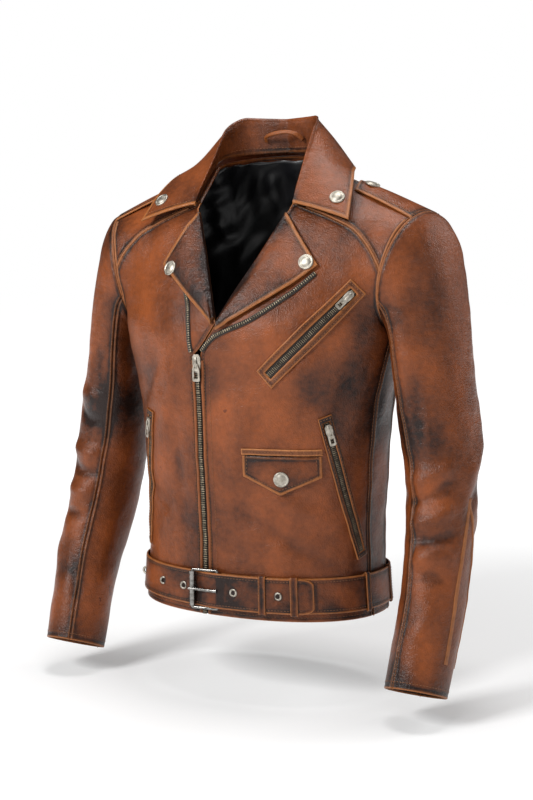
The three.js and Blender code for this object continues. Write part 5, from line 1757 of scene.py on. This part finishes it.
# ---------- zips ----------
class Zip:
    """Teeth, slider and pull shared by all the zips."""

    @staticmethod
    def slider(name: str, body: str, origin: Array, along: Array, up: Array, scale: float) -> None:
        """A slider: a shield-shaped body with side walls and a bridge for the pull."""
        across = np.cross(along, up)
        half, long = 6.0 * scale, 24.0 * scale
        shield = [(-half * 0.55, 0), (half * 0.55, 0), (half, long * 0.16), (half, long * 0.55),
                  (half * 0.66, long), (-half * 0.66, long), (-half, long * 0.55), (-half, long * 0.16)]
        parts = [prism(shield, [], 1.4, 3.9 * 0.9, origin, across, along, 0.45)]
        inner = [(x * 0.74, lerp(long * 0.46, y, 0.8)) for x, y in shield]
        parts.append(prism(inner, [], 3.2, 4.1, origin, across, along, 0.4))
        bridge = []
        for k in np.linspace(0, 1, 15):
            y = long * lerp(0.1, 0.78, k)
            lift = 3.6 + 2.6 * scale * math.sin(math.pi * k) ** 0.6
            centre = origin + along * y + up * lift
            angles = np.arange(8) * math.pi / 4
            ring = [(math.cos(a) * 1.6 * scale, math.sin(a) * 0.7 * scale) for a in angles]
            bridge.append([centre + across * p + up * q for p, q in ring])
        parts.append(loft_parts(np.array(bridge)))
        make(name, *merge(*together(parts)), Finish.SILVER, rides(body), [name], sharp=38)

    @staticmethod
    def pull(name: str, body: str, origin: Array, along: Array, up: Array, scale: float) -> None:
        """A pull: a plate with a long hole, hung from the bridge."""
        across = np.cross(along, up)
        half, long = 5.4 * scale, 23.0 * scale
        neck = half * 0.6
        outline = [(-neck, 0.8), (-neck + 1, 0), (neck - 1, 0), (neck, 0.8),
                   (half, long * 0.34), (half, long - 1.6), (half - 1.6, long),
                   (-half + 1.6, long), (-half, long - 1.6), (-half, long * 0.34)]
        hole, eye = ([(x * half * wide, long * y) for x, y in ((-1, low), (1, low), (1, high), (-1, high))]
                     for wide, low, high in ((0.5, 0.42, 0.82), (0.34, 0.08, 0.24)))
        top = origin + along * 12.0 * scale
        low = 2.1 + 1.8 * scale + 0.5
        body_parts = prism(outline, [hole, eye], low, low + 1.5 * scale, top, across, along, 0.35)
        make(name, *merge(*body_parts), Finish.SILVER, rides(body), [name], sharp=38)

    @staticmethod
    def teeth(name: str, path: Array, up: Array, rig: Rig, part: str = "tooth", both: bool = True,
              reach: float = 0.75, pitch: float = 3.0) -> None:
        """Rows of teeth along a path: both rows of a closed zip, or one row of an open one."""
        along = unit(np.gradient(path, axis=0))
        across = unit(np.cross(up, along))
        paths = [(path - across * reach, up)]
        if both:
            turned = path[::-1] + across[::-1] * reach
            length = np.linalg.norm(np.diff(turned, axis=0), axis=1).cumsum()
            first = int(np.searchsorted(length, pitch * 0.5))
            paths.append((turned[first:], up[::-1][first:]))
        REPEATS.run(name, part, paths, pitch, Finish.TEETH, rig)


class FrontZip:
    """The closed front zip and the open rows of teeth on the lapel and the right front."""

    LEFT = ((-20, -241), (-3, -224), (48, -201), (84, -175), (117, -144))
    RIGHT = ((-37, -243), (-46, -191), (-57, -167), (-66, -132), (-72, -104))

    def build(self) -> None:
        """Make the tapes, teeth, slider and pull."""
        z = np.linspace(HEM + 1.5, S.zip_top - 8, 110)
        x = np.array([-8.3, -3.6, -3.5, 3.5, 3.6, 8.3])
        xx, zz = np.meshgrid(x, z, indexing="ij")
        lift = np.where(np.abs(xx) > 3.55, -S.leather - 0.5, -0.8)
        tape = FORM.on_front(S.zip_line + xx, zz, lift)
        out = unit(FORM.on_front(S.zip_line + xx, zz, lift + 5) - tape)
        Sheet("zip_tape", tape, out, 0.5, seam_depth=0, puff=0).build(Finish.TAPE, SHELL, ["main_zip_chain"])
        path = FORM.on_front(S.zip_line, z, 0.0)
        up = unit(FORM.on_front(S.zip_line, z, 5.0) - path)
        Zip.teeth("zip_teeth", path + up * 0.9, up, SHELL)
        self._edges(z)
        self._open("lapel_zip", self.LEFT, "lapel_zip_track", 1.4, 1)
        self._open("front_zip", self.RIGHT, "front_zip_track", 1.2, -1)
        top = vec(-28, -135.4269, -246)
        along = unit(vec(0, 0.0757, -0.9971))
        up = unit(np.cross(vec(-1, 0, 0), along))
        Zip.slider("main_zip_slider", "main_slider", top, along, up, 1.0)
        Zip.pull("main_zip_pull", "main_pull", top, along, up, 1.0)

    @staticmethod
    def _edges(z: Array) -> None:
        """The turned edges of the two fronts, on either side of the teeth."""
        parts = []
        for off in (-6.6, 6.6):
            p = FORM.on_front(S.zip_line + off, z, -0.1)
            up = unit(FORM.on_front(S.zip_line + off, z, 5.0) - p)
            parts.append(loft_parts(ribbon(p, up, 4.6, 1.5, 1.0)))
        points, faces = together(parts)
        make("zip_edges", points, faces, Finish.HIDE, SHELL, numbers={
            "burnish_and_shade": np.full(len(points), 0.15), "wear": np.full(len(points), 0.32)})

    @staticmethod
    def _open(name: str, points: tuple, node: str, lift: float, side: int) -> None:
        """One open row: its tape and its teeth."""
        k = np.linspace(0, 1, 90)
        line = Table(np.linspace(0, 1, len(points)), points)(k)
        flat = unit(np.gradient(line, axis=0))
        across = np.stack([-flat[:, 1], flat[:, 0]], -1)
        offsets = np.array([-3.2, -1.0, 1.0, 3.2])
        place = line[None] + across[None] * offsets[:, None, None]
        tape = FORM.on_front(place[..., 0], place[..., 1], lift)
        out = unit(FORM.on_front(place[..., 0], place[..., 1], lift + 5) - tape)
        Sheet(name + "_tape", tape, out, 0.6, seam_depth=0, puff=0).build(Finish.TAPE, SHELL, [node])
        path = FORM.on_front(line[:, 0], line[:, 1], lift + 0.6)
        up = unit(FORM.on_front(line[:, 0], line[:, 1], lift + 6) - path)
        if side > 0:
            path, up = path[::-1], up[::-1]
        Zip.teeth(name + "_teeth", path, up, SHELL, both=False, reach=0.0)


@dataclass(frozen=True)
class PocketPlace:
    """A zipped pocket's ends on the front as x and z, its frame's width and its slot."""

    upper: tuple
    lower: tuple
    width: float
    slot: float


POCKETS = {
    "chest": PocketPlace((169, -164), (73, -271), 30, 11),
    "side_left": PocketPlace((134, -330), (159, -500), 20, 9),
    "side_right": PocketPlace((-120, -333), (-143, -503), 20, 9),
}


class ZippedPocket:
    """A zipped pocket in a leather frame with a worn, stitched border."""

    def __init__(self, name: str, place: PocketPlace) -> None:
        """Work out the pocket's own directions."""
        self.name, self.place = name, place
        mid = ((place.upper[0] + place.lower[0]) / 2, (place.upper[1] + place.lower[1]) / 2)
        self.middle = self._plain(*mid, 0.0)
        a, b = self._plain(*place.upper, 0.0), self._plain(*place.lower, 0.0)
        self.long = float(np.linalg.norm(a - b)) / 2
        self.along = unit(b - a)
        lifted = unit(self._plain(*mid, 5.0) - self.middle)
        self.across = unit(np.cross(self.along, lifted))

    @staticmethod
    def _plain(x: float, z: float, lift: float) -> Array:
        """A point off the unfolded front."""
        u, v = FORM.find_front(np.abs(np.array(float(x))), np.array(float(z)))
        p = FORM.front(u, v) + surface_normal(FORM.front, u, v) * lift
        return mirrored(p, -1 if x < 0 else 1)

    def lay(self, p: Array, q: Array, lift, folds: bool = True) -> tuple[Array, Array]:
        """Points at p along and q across the pocket, and the outward direction at each."""
        p, q, lift = np.broadcast_arrays(*(np.asarray(a, float) for a in (p, q, lift)))
        side = -1 if self.middle[0] < 0 else 1
        target = self.middle + self.along * p[..., None] + self.across * q[..., None]
        target = target * vec(side, 1, 1)
        u, v = FORM.find_front(target[..., 0], target[..., 2])
        h = 1e-3
        for _ in range(12):
            here = FORM.front(u, v)
            du, dv = (FORM.front(u + h, v) - here) / h, (FORM.front(u, v + h) - here) / h
            miss = target - here
            a, b, c = (np.sum(m * n, -1) for m, n in ((du, du), (du, dv), (dv, dv)))
            e, f = np.sum(miss * du, -1), np.sum(miss * dv, -1)
            k = a * c - b * b
            u = np.clip(u + np.clip((c * e - b * f) / k, -0.1, 0.1), -0.99, 0.99)
            v = np.clip(v + np.clip((a * f - b * e) / k, -0.1, 0.1), 0.002, 0.99)
        base = mirrored(FORM.front(u, v), side)
        n = mirrored(surface_normal(FORM.front, u, v), side)
        rise = FORM.torso_fold(base) if folds else 0.0
        return base + n * (lift + rise)[..., None], n

    def build(self) -> None:
        """Make the frame, tape, teeth, slider and pull."""
        long, half, slot = self.long, self.place.width / 2, self.place.slot / 2
        fine = (0.5, 1.1, 1.8, 2.7, 3.4)
        ends = 8 * graded(8, 3, fine, (0.5, 1.2, 2.0))
        between = lerp(-long, long, graded(2 * long, 4, (0.6, 1.4), (0.6, 1.4)))[1:-1]
        p = np.concatenate([-long - 8 + ends, between, long + 8 - ends[::-1]])
        side_band = half - slot
        edge = side_band * graded(side_band, 3, fine, (0.5, 1.2, 2.0))
        q = np.concatenate([-half + edge, half - edge[::-1]])
        n_edge = len(edge)
        pp, qq = np.meshgrid(p, q, indexing="ij")
        grid, out = self.lay(pp, qq, 2.7)
        keep = np.ones((len(p) - 1, len(q) - 1), bool)
        inside = (np.abs((p[:-1] + p[1:]) / 2) < long)
        keep[inside, n_edge - 1] = False
        chest = self.name == "chest"
        shade = 0.15 * ripple(grid, 40, 61) + (0.25 if chest else 0.6)
        frame_sheet = Sheet(f"{self.name}_pocket_welt", grid, out, 2.4, keep=keep, rim=2.0 if chest else 0.9,
                            shade=shade, free=lambda i, j: True)
        frame_sheet.build(Finish.HIDE, SHELL, [f"{self.name}_pocket_welt"])
        k = 5
        inset = slice(k, -k)
        REPEATS.stitches(f"{self.name}_pocket_stitches", [
            edge_path(frame_sheet, j=k, span=inset), edge_path(frame_sheet, j=-1 - k, span=inset),
            edge_path(frame_sheet, i=k, span=inset), edge_path(frame_sheet, i=-1 - k, span=inset),
        ], SHELL)
        along, across = np.linspace(-long - 1, long + 1, 60), np.linspace(-slot - 0.6, slot + 0.6, 6)
        tape, out = self.lay(*np.meshgrid(along, across, indexing="ij"), 0.9)
        tape_sheet = Sheet(f"{self.name}_zip_tape", tape, out, 0.5, seam_depth=0, puff=0)
        tape_sheet.build(Finish.TAPE, SHELL, [f"{self.name}_zip_chain"])
        path, up = self.lay(np.linspace(-long + 1, long - 1, 80), np.zeros(80), 1.5)
        Zip.teeth(f"{self.name}_zip_teeth", path, up, SHELL, part="small_tooth", reach=0.65, pitch=2.5)
        self._slider()

    def _slider(self) -> None:
        """The slider and pull, which stand where the CAD ones do."""
        top, _ = self.lay(np.array(-self.long + 2), np.array(0.0), 1.7, folds=False)
        following, _ = self.lay(np.array(-self.long + 2 + 19.2), np.array(0.0), 1.7, folds=False)
        run = unit(following - top)
        a, _ = self.lay(np.array(-self.long + 10), np.array(0.0), 0.0, folds=False)
        b, _ = self.lay(np.array(-self.long + 10), np.array(0.0), 3.0, folds=False)
        lifted = b - a
        up = unit(lifted - run * (lifted @ run))
        Zip.slider(f"{self.name}_zip_slider", f"{self.name}_slider", top, run, up, 0.8)
        Zip.pull(f"{self.name}_zip_pull", f"{self.name}_pull", top, run, up, 0.8)


class CoinPocket:
    """A small pocket with a pointed flap, a welt above it and a snap."""

    X, HALF, TOP, SIDE, POINT, BAND = 80, 47, -372, 27, 50, 8

    def build(self) -> None:
        """Make the welt, the flap and the snap."""
        a = lerp(-1, 1, graded(94, 3.2, EDGE, EDGE))
        b = graded(40, 3.0, EDGE, EDGE)
        aa, bb = np.meshgrid(a, b, indexing="ij")
        depth = lerp(self.SIDE, self.POINT, 1 - np.abs(aa))
        x, z = self.X + self.HALF * aa, self.TOP - 1 - bb * depth
        lift = 3.1 + 0.5 * bb + 1.3 * np.sin(np.pi * bb) * (1 - aa ** 2)
        grid = FORM.on_front(x, z, lift)
        out = unit(FORM.on_front(x, z, lift + 5) - grid)
        rig = rides("coin_flap")
        last = len(a) - 1
        shade = 0.18 * ripple(grid, 40, 71) + 0.05
        flap = Sheet("coin_flap", grid, out, 2.2, rim=3.6, shade=shade, seam_depth=0.8, puff=0,
                     free=lambda i, j: i in (0, last) or j == len(b) - 1)
        flap.build(Finish.HIDE, rig, ["coin_flap"])
        k = AT_RIM_STITCH
        REPEATS.stitches("coin_flap_stitches", [
            edge_path(flap, i=k, span=slice(2, -k)), edge_path(flap, i=-1 - k, span=slice(2, -k)),
            edge_path(flap, j=-1 - k, span=slice(k, -k)),
        ], rig)
        spot = (self.X + 4, -402)
        away = np.hypot(flap.top[..., 0] - spot[0], flap.top[..., 2] - spot[1])
        at = np.unravel_index(np.argmin(away), grid.shape[:2])
        Snap.make("coin_snap", flap.top[at] - out[at] * 0.4, out[at], rig)
        b = graded(8, 1.5, (0.5, 1.1, 1.8), (0.5, 1.1, 1.8))
        aa, bb = np.meshgrid(a, b, indexing="ij")
        x, z = self.X + (self.HALF + 1) * aa, self.TOP + bb * self.BAND
        grid = FORM.on_front(x, z, 2.6)
        out = unit(FORM.on_front(x, z, 8.0) - grid)
        welt = Sheet("coin_welt", grid, out, 2.2, rim=1.4, free=lambda i, j: True)
        welt.build(Finish.TRIM, SHELL, ["coin_welt"])
        REPEATS.stitches("coin_welt_stitches", [edge_path(welt, j=len(b) // 2, span=slice(3, -3))], SHELL)


# ---------- belt ----------
class Belt:
    """The belt with its eyelets, keepers, loops and roller buckle."""

    ROLLER_X, PIVOT_X, TIP_X = -43, -7, 118
    SECOND = S.belt_lift + S.belt_thick + 0.8
    BAR, ROLLER = 1.7, 3.6
    OVER = 7.4

    def __init__(self) -> None:
        """Work out how high the overlapping end lies along x."""
        xs = [-90, self.ROLLER_X, self.PIVOT_X - 6, self.PIVOT_X + 3, self.PIVOT_X + 22, self.TIP_X + 50]
        lifts = [S.belt_lift, S.belt_lift + 0.5, self.OVER, self.OVER, self.SECOND, self.SECOND]
        self.rise = Table(xs, lifts)

    def _lift(self, q: Array) -> Array:
        """The strap's height off the body at each q."""
        x = FORM.belt(q, BELT_Z, S.belt_lift)[..., 0]
        return np.where(q > 3.2, self.rise(x), S.belt_lift)

    def build(self) -> None:
        """Make the belt."""
        self._strap()
        for name, x in (("inner", 58), ("outer", 96)):
            q = FORM.belt_at(x)
            over = self.SECOND + S.belt_thick + 0.5
            self._band(f"belt_keeper_{name}", rides(f"belt_keeper_{name}"), q, 0.017, over, 0.7)
        for name, q in (("front_left", 0.8), ("side_left", 1.12), ("side_right", 2.88), ("back", 2.0)):
            self._band(f"belt_loop_{name}", SHELL, q, 0.018, S.belt_lift + S.belt_thick + 0.6, 1.0)
        self._buckle()

    def _strap(self) -> None:
        """The strap, once round and over itself, with a rounded tip."""
        start, stop = FORM.belt_at(self.PIVOT_X + 6), 4 + FORM.belt_at(self.TIP_X)
        q = np.linspace(start, stop, 420)
        q = np.concatenate([q[:-4], stop - (stop - q[-4]) * np.array([1, 0.7, 0.45, 0.25, 0.1, 0.03, 0])])
        h = lerp(-1, 1, graded(S.belt_width, 3.0, EDGE, EDGE))
        qq, hh = np.meshgrid(q, h, indexing="ij")
        x = FORM.belt(q, BELT_Z, S.belt_lift)[:, 0]
        left = np.where(q > 3.5, np.clip((self.TIP_X - x) / 15, 0, 1), 1)
        shape = 0.62 + 0.38 * np.sqrt(1 - (1 - left) ** 2)
        z = BELT_Z + hh * S.belt_width / 2 * shape[:, None]
        lift = self._lift(qq) + S.belt_thick
        wave = 0.5 * ripple(np.stack([x, 0 * x, 0 * x], -1), 60, 81)[:, None]
        grid = FORM.belt(qq, z, lift + wave * np.where(qq < 3.2, 1, 0.2))
        flat = grid.copy()
        flat[..., 2] = PIT
        out = grid_normal(grid, FORM.outward(flat))
        last = len(q) - 1
        shade = 0.28 * ripple(grid, 50, 83) + 0.12
        # Painted shade: dark bands across the front of the strap beside the buckle and its bar, and beside
        # the keepers.
        for x0 in (-40, 16, 60, 98):
            near = np.where((qq < 0.7) | (qq > 3.3), 1.0, 0.0)
            shade = shade + 0.35 * near * bump(grid[..., 0] - x0, 10)
        # Painted shade: a dark disc on the strap under each eyelet, where its hole lies in shade.
        spots = self._eyelet_places(q, h, grid)
        for i, j in spots:
            shade = shade + 4.0 * bump(np.linalg.norm(grid - grid[i, j], axis=-1), 3.4)
        strap = Sheet("belt_strap", grid, out, S.belt_thick, rim=1.9, shade=shade, free=lambda i, j: True,
                      burnish_and_shade=0.9)
        strap.build(Finish.HIDE, SHELL, ["belt_strap"])
        k = AT_RIM_STITCH - 1
        length = slice(3, last - 8)
        REPEATS.stitches("belt_stitches", [
            edge_path(strap, j=k, span=length), edge_path(strap, j=-1 - k, span=length)], SHELL)
        paths = [(np.array([strap.top[s], strap.top[s] + vec(0.6, 0, 0)]), np.array([out[s], out[s]]))
                 for s in spots]
        REPEATS.run("belt_eyelets", "eyelet", paths, 5.0, Finish.SILVER, SHELL)

    @staticmethod
    def _eyelet_places(q: Array, h: Array, grid: Array) -> list:
        """Where the eyelets are on the strap's grid."""
        places = []
        for x in (-156, -102, -63, 17, 78):
            outer = (q > 3.05) if x < -50 else (q > 3.6)
            places.append((int(np.argmin(np.where(outer, np.abs(grid[:, 0, 0] - x), 1e9))), len(h) // 2))
        return places

    def _band(self, name: str, rig: Rig, q: float, half: float, outer: float, room: float) -> None:
        """A leather band round the strap."""
        high = S.belt_width / 2 + room
        inner = S.belt_lift - 1.2
        corner = 2.6
        ring = []
        for cx, cy, turn in ((high, outer, 0), (-high, outer, 90), (-high, inner, 180), (high, inner, 270)):
            sx, sy = (1 if cx > 0 else -1), (1 if cy == outer else -1)
            r = corner if sy > 0 else 0.6
            px, py = cx + sx * 1.6 - sx * corner, cy + (1.6 if sy > 0 else -0.8) - sy * r
            for a in np.radians(np.linspace(turn, turn + 90, 6)):
                ring.append((px + r * math.cos(a), py + r * math.sin(a)))
        dense = []
        for (a, b), (c, d) in zip(ring, ring[1:] + ring[:1]):
            n = max(1, int(math.hypot(c - a, d - b) / 3))
            dense += [(lerp(a, c, k / n), lerp(b, d, k / n)) for k in range(n)]
        places = q + half * np.array([-1, -0.93, -0.84, -0.7, -0.4, 0, 0.4, 0.7, 0.84, 0.93, 1])
        h = np.array([p[0] for p in dense])[:, None]
        lift = np.array([p[1] for p in dense])[:, None]
        grid = FORM.belt(np.broadcast_to(places, (len(dense), len(places))), BELT_Z + h, lift + 0 * h)
        away = np.stack([grid[..., 0] * 0, grid[..., 0] * 0, np.sign(h) * np.ones(grid.shape[:2])], -1)
        flat = grid.copy()
        flat[..., 2] = PIT
        face = FORM.outward(flat) * np.where(lift > (inner + outer) / 2, 1, -1)[..., None]
        guide = np.where((np.abs(h) > high - 0.5)[..., None], away, face)
        du = np.roll(grid, -1, 0) - np.roll(grid, 1, 0)
        n = unit(np.cross(du, np.gradient(grid, axis=1)))
        out = np.where(np.sum(n * guide, -1, keepdims=True) < 0, -n, n)
        last = len(places) - 1
        band = Sheet(name, grid, out, 1.2, closed=True, rim=1.3, shade=0.2 + 0.15 * ripple(grid, 30, 91),
                     free=lambda i, j: j in (0, last), seam_depth=0, puff=0)
        band.build(Finish.HIDE, rig, [name])
        rows = [i for i in range(len(dense)) if lift[i, 0] > outer and abs(h[i, 0]) < high - 2]
        if rows:
            span = slice(min(rows), max(rows) + 1)
            paths = [edge_path(band, j=2, span=span), edge_path(band, j=-3, span=span)]
            REPEATS.stitches(name + "_stitches", paths, rig, 3.4)

    def _buckle(self) -> None:
        """The frame, the roller on its far bar and the prong on its near one."""
        pivot = vec(-7, -122.680, -553)
        roller = vec(-43, -125.6192, -553)
        reach = roller - pivot
        x = unit(vec(-reach[0], -reach[1], 0))
        span = float(np.hypot(reach[0], reach[1]))
        z = vec(0, 0, 1)
        high = S.belt_width / 2 + 2.2
        bar = self.BAR

        def rounded(x0: float, x1: float, y0: float, y1: float, r: float) -> list:
            """The outline of a rectangle with round corners."""
            corners = ((x1 - r, y1 - r, 0), (x0 + r, y1 - r, 90),
                       (x0 + r, y0 + r, 180), (x1 - r, y0 + r, 270))
            return [(cx + r * math.cos(a), cy + r * math.sin(a))
                    for cx, cy, t in corners for a in np.radians(np.linspace(t, t + 90, 7))]

        outer = rounded(-span - bar, bar, -high - bar, high + bar, 3.2)
        hole = rounded(-span + bar, -bar, -high + bar, high - bar, 1.4)
        frame_parts = merge(*prism(outer, [hole], -bar, bar, pivot, x, z, 1.2))
        make("buckle_frame", *frame_parts, Finish.STEEL, SHELL, ["buckle_frame"], sharp=50)
        half = high - bar - 0.4
        profile = [(0, -half), (3.1, -half), (3.6, -half + 0.5), (3.6, half - 0.5), (3.1, half), (0, half)]
        make("buckle_roller", *lathe(profile, roller, z, 36), Finish.STEEL, rides("buckle_roller"),
             ["buckle_roller"], sharp=40)
        y = np.cross(x, z)
        if y @ vec(0, -1, 0) < 0:
            y = -y
        top = self.OVER + S.belt_thick - 5.1
        to_roller = float(reach @ y)
        sections = []
        for k in np.linspace(0, 1, 26):
            along = lerp(1.5, -span - 4.2, k)
            low = lerp(top + 1.0, to_roller + self.ROLLER + 0.3, smooth(np.array(k * 1.1)))
            thick = lerp(2.4, 1.7, k)
            centre = pivot + x * along + y * (float(low) + thick / 2)
            wide = lerp(2.0, 1.45, k) * (1 if k < 0.97 else 0.75)
            ring = [(math.cos(a) * wide, math.sin(a) * thick / 2) for a in np.arange(10) * math.pi / 5]
            sections.append([centre + z * p + y * q for p, q in ring])
        neck = []
        for a in np.radians(np.linspace(-60, 200, 16)):
            r = 3.1
            centre = pivot + x * (r * math.cos(a)) * -1 + y * r * math.sin(a)
            radial = unit(centre - pivot)
            neck.append([centre + z * (2.0 * p) + radial * (0.75 * q)
                         for p, q in ((-1, -0.7), (1, -0.7), (1, 0.7), (-1, 0.7))])
        stem = []
        for k in np.linspace(0, 1, 6):
            centre = pivot + x * 0.8 + y * lerp(2.8, top + 2.6, k)
            stem.append([centre + z * (2.0 * p) + x * (0.9 * q)
                         for p, q in ((-1, -1), (1, -1), (1, 1), (-1, 1))])
        parts = [loft_parts(np.array(s)) for s in (sections, neck, stem)]
        make("buckle_prong", *together(parts), Finish.STEEL, rides("buckle_prong"), ["buckle_prong"],
             sharp=50)


# ---------- the picture ----------
class Studio:
    """A pale floor, white surroundings, soft lights and the camera."""

    TARGET = Vector((0, 0, -0.316))
    DISTANCE, AZIMUTH, ELEVATION = 2.0, 28.0, 6.0

    def build(self) -> None:
        """Set the stage."""
        self._camera()
        self._floor()
        self._light("key", (-0.9, -2.1, 1.1), 0.8, 62)
        self._light("fill", (2.2, -1.2, 0.5), 1.4, 7)
        self._light("top", (0.0, 0.1, 2.1), 1.0, 36)
        self._light("rim", (1.6, 1.7, 1.0), 1.2, 18)
        self._air()

    @staticmethod
    def _air() -> None:
        """White surroundings that light the jacket only a little."""
        world = bpy.data.worlds.new("studio_air")
        world.use_nodes = True
        tree = world.node_tree
        seen = tree.nodes.new("ShaderNodeLightPath")
        level = tree.nodes.new("ShaderNodeMapRange")
        level.inputs["To Min"].default_value = 0.07
        level.inputs["To Max"].default_value = 1.0
        tree.links.new(seen.outputs["Is Camera Ray"], level.inputs["Value"])
        tree.nodes["Background"].inputs[0].default_value = (1, 1, 1, 1)
        tree.links.new(level.outputs[0], tree.nodes["Background"].inputs[1])
        bpy.context.scene.world = world
        bpy.context.scene.view_settings.view_transform = "Standard"

    def _camera(self) -> None:
        """Look at the jacket as the picture does."""
        a, e = math.radians(self.AZIMUTH), math.radians(self.ELEVATION)
        back = Vector((math.sin(a) * math.cos(e), -math.cos(a) * math.cos(e), math.sin(e)))
        data = bpy.data.cameras.new("camera")
        data.sensor_width = data.sensor_height = 36
        data.lens = 36 * self.DISTANCE / 1.08
        camera = bpy.data.objects.new("camera", data)
        camera.location = self.TARGET + back * self.DISTANCE
        camera.rotation_euler = (-back).to_track_quat("-Z", "Y").to_euler()
        bpy.context.scene.collection.objects.link(camera)
        bpy.context.scene.camera = camera

    @staticmethod
    def _floor() -> None:
        """A pale floor below the jacket, which floats over it."""
        mesh = bpy.data.meshes.new("floor")
        s, z = 12.0, -0.70
        mesh.from_pydata([(-s, -s, z), (s, -s, z), (s, s, z), (-s, s, z)], [], [(0, 1, 2, 3)])
        g = Graph("glowing_floor")
        g.put(g.shader.inputs["Base Color"], (0.7, 0.7, 0.7, 1))
        # Painted light: the floor glows, weakly near the jacket and almost white far away, so that it stays
        # pale where the lamps do not reach.
        away = g.add("ShaderNodeVectorMath", operation="LENGTH")
        g.put(away.inputs[0], g.add("ShaderNodeTexCoord").outputs["Object"])
        glow = g.add("ShaderNodeMapRange", interpolation_type="SMOOTHSTEP")
        ramp = {"Value": away.outputs["Value"], "From Min": 0.7, "From Max": 2.4,
                "To Min": 0.3, "To Max": 0.95}
        for socket, value in ramp.items():
            g.put(glow.inputs[socket], value)
        g.put(g.shader.inputs["Emission Color"], (1, 1, 1, 1))
        g.put(g.shader.inputs["Emission Strength"], glow.outputs[0])
        g.put(g.shader.inputs["Roughness"], 0.9)
        g.put(g.shader.inputs["Specular IOR Level"], 0.0)
        mesh.materials.append(g.material)
        floor = bpy.data.objects.new("floor", mesh)
        bpy.context.scene.collection.objects.link(floor)

    def _light(self, name: str, place: tuple, size: float, power: float) -> None:
        """A soft square light aimed at the jacket."""
        data = bpy.data.lights.new(name, "AREA")
        data.shape, data.size, data.energy = "SQUARE", size, power
        lamp = bpy.data.objects.new(name, data)
        lamp.location = place
        lamp.rotation_euler = (self.TARGET - Vector(place)).to_track_quat("-Z", "Y").to_euler()
        bpy.context.scene.collection.objects.link(lamp)


def main() -> None:
    """Make the jacket and its setting."""
    Torso().build()
    Lining().build()
    for name, side in SIDES.items():
        Sleeve(name, side).build()
        Lapel(name, side).build()
        Epaulette(name, side).build()
    Collar().build()
    FrontZip().build()
    for name, place in POCKETS.items():
        ZippedPocket(name, place).build()
    CoinPocket().build()
    Belt().build()
    Studio().build()


if __name__ == "__main__":
    main()
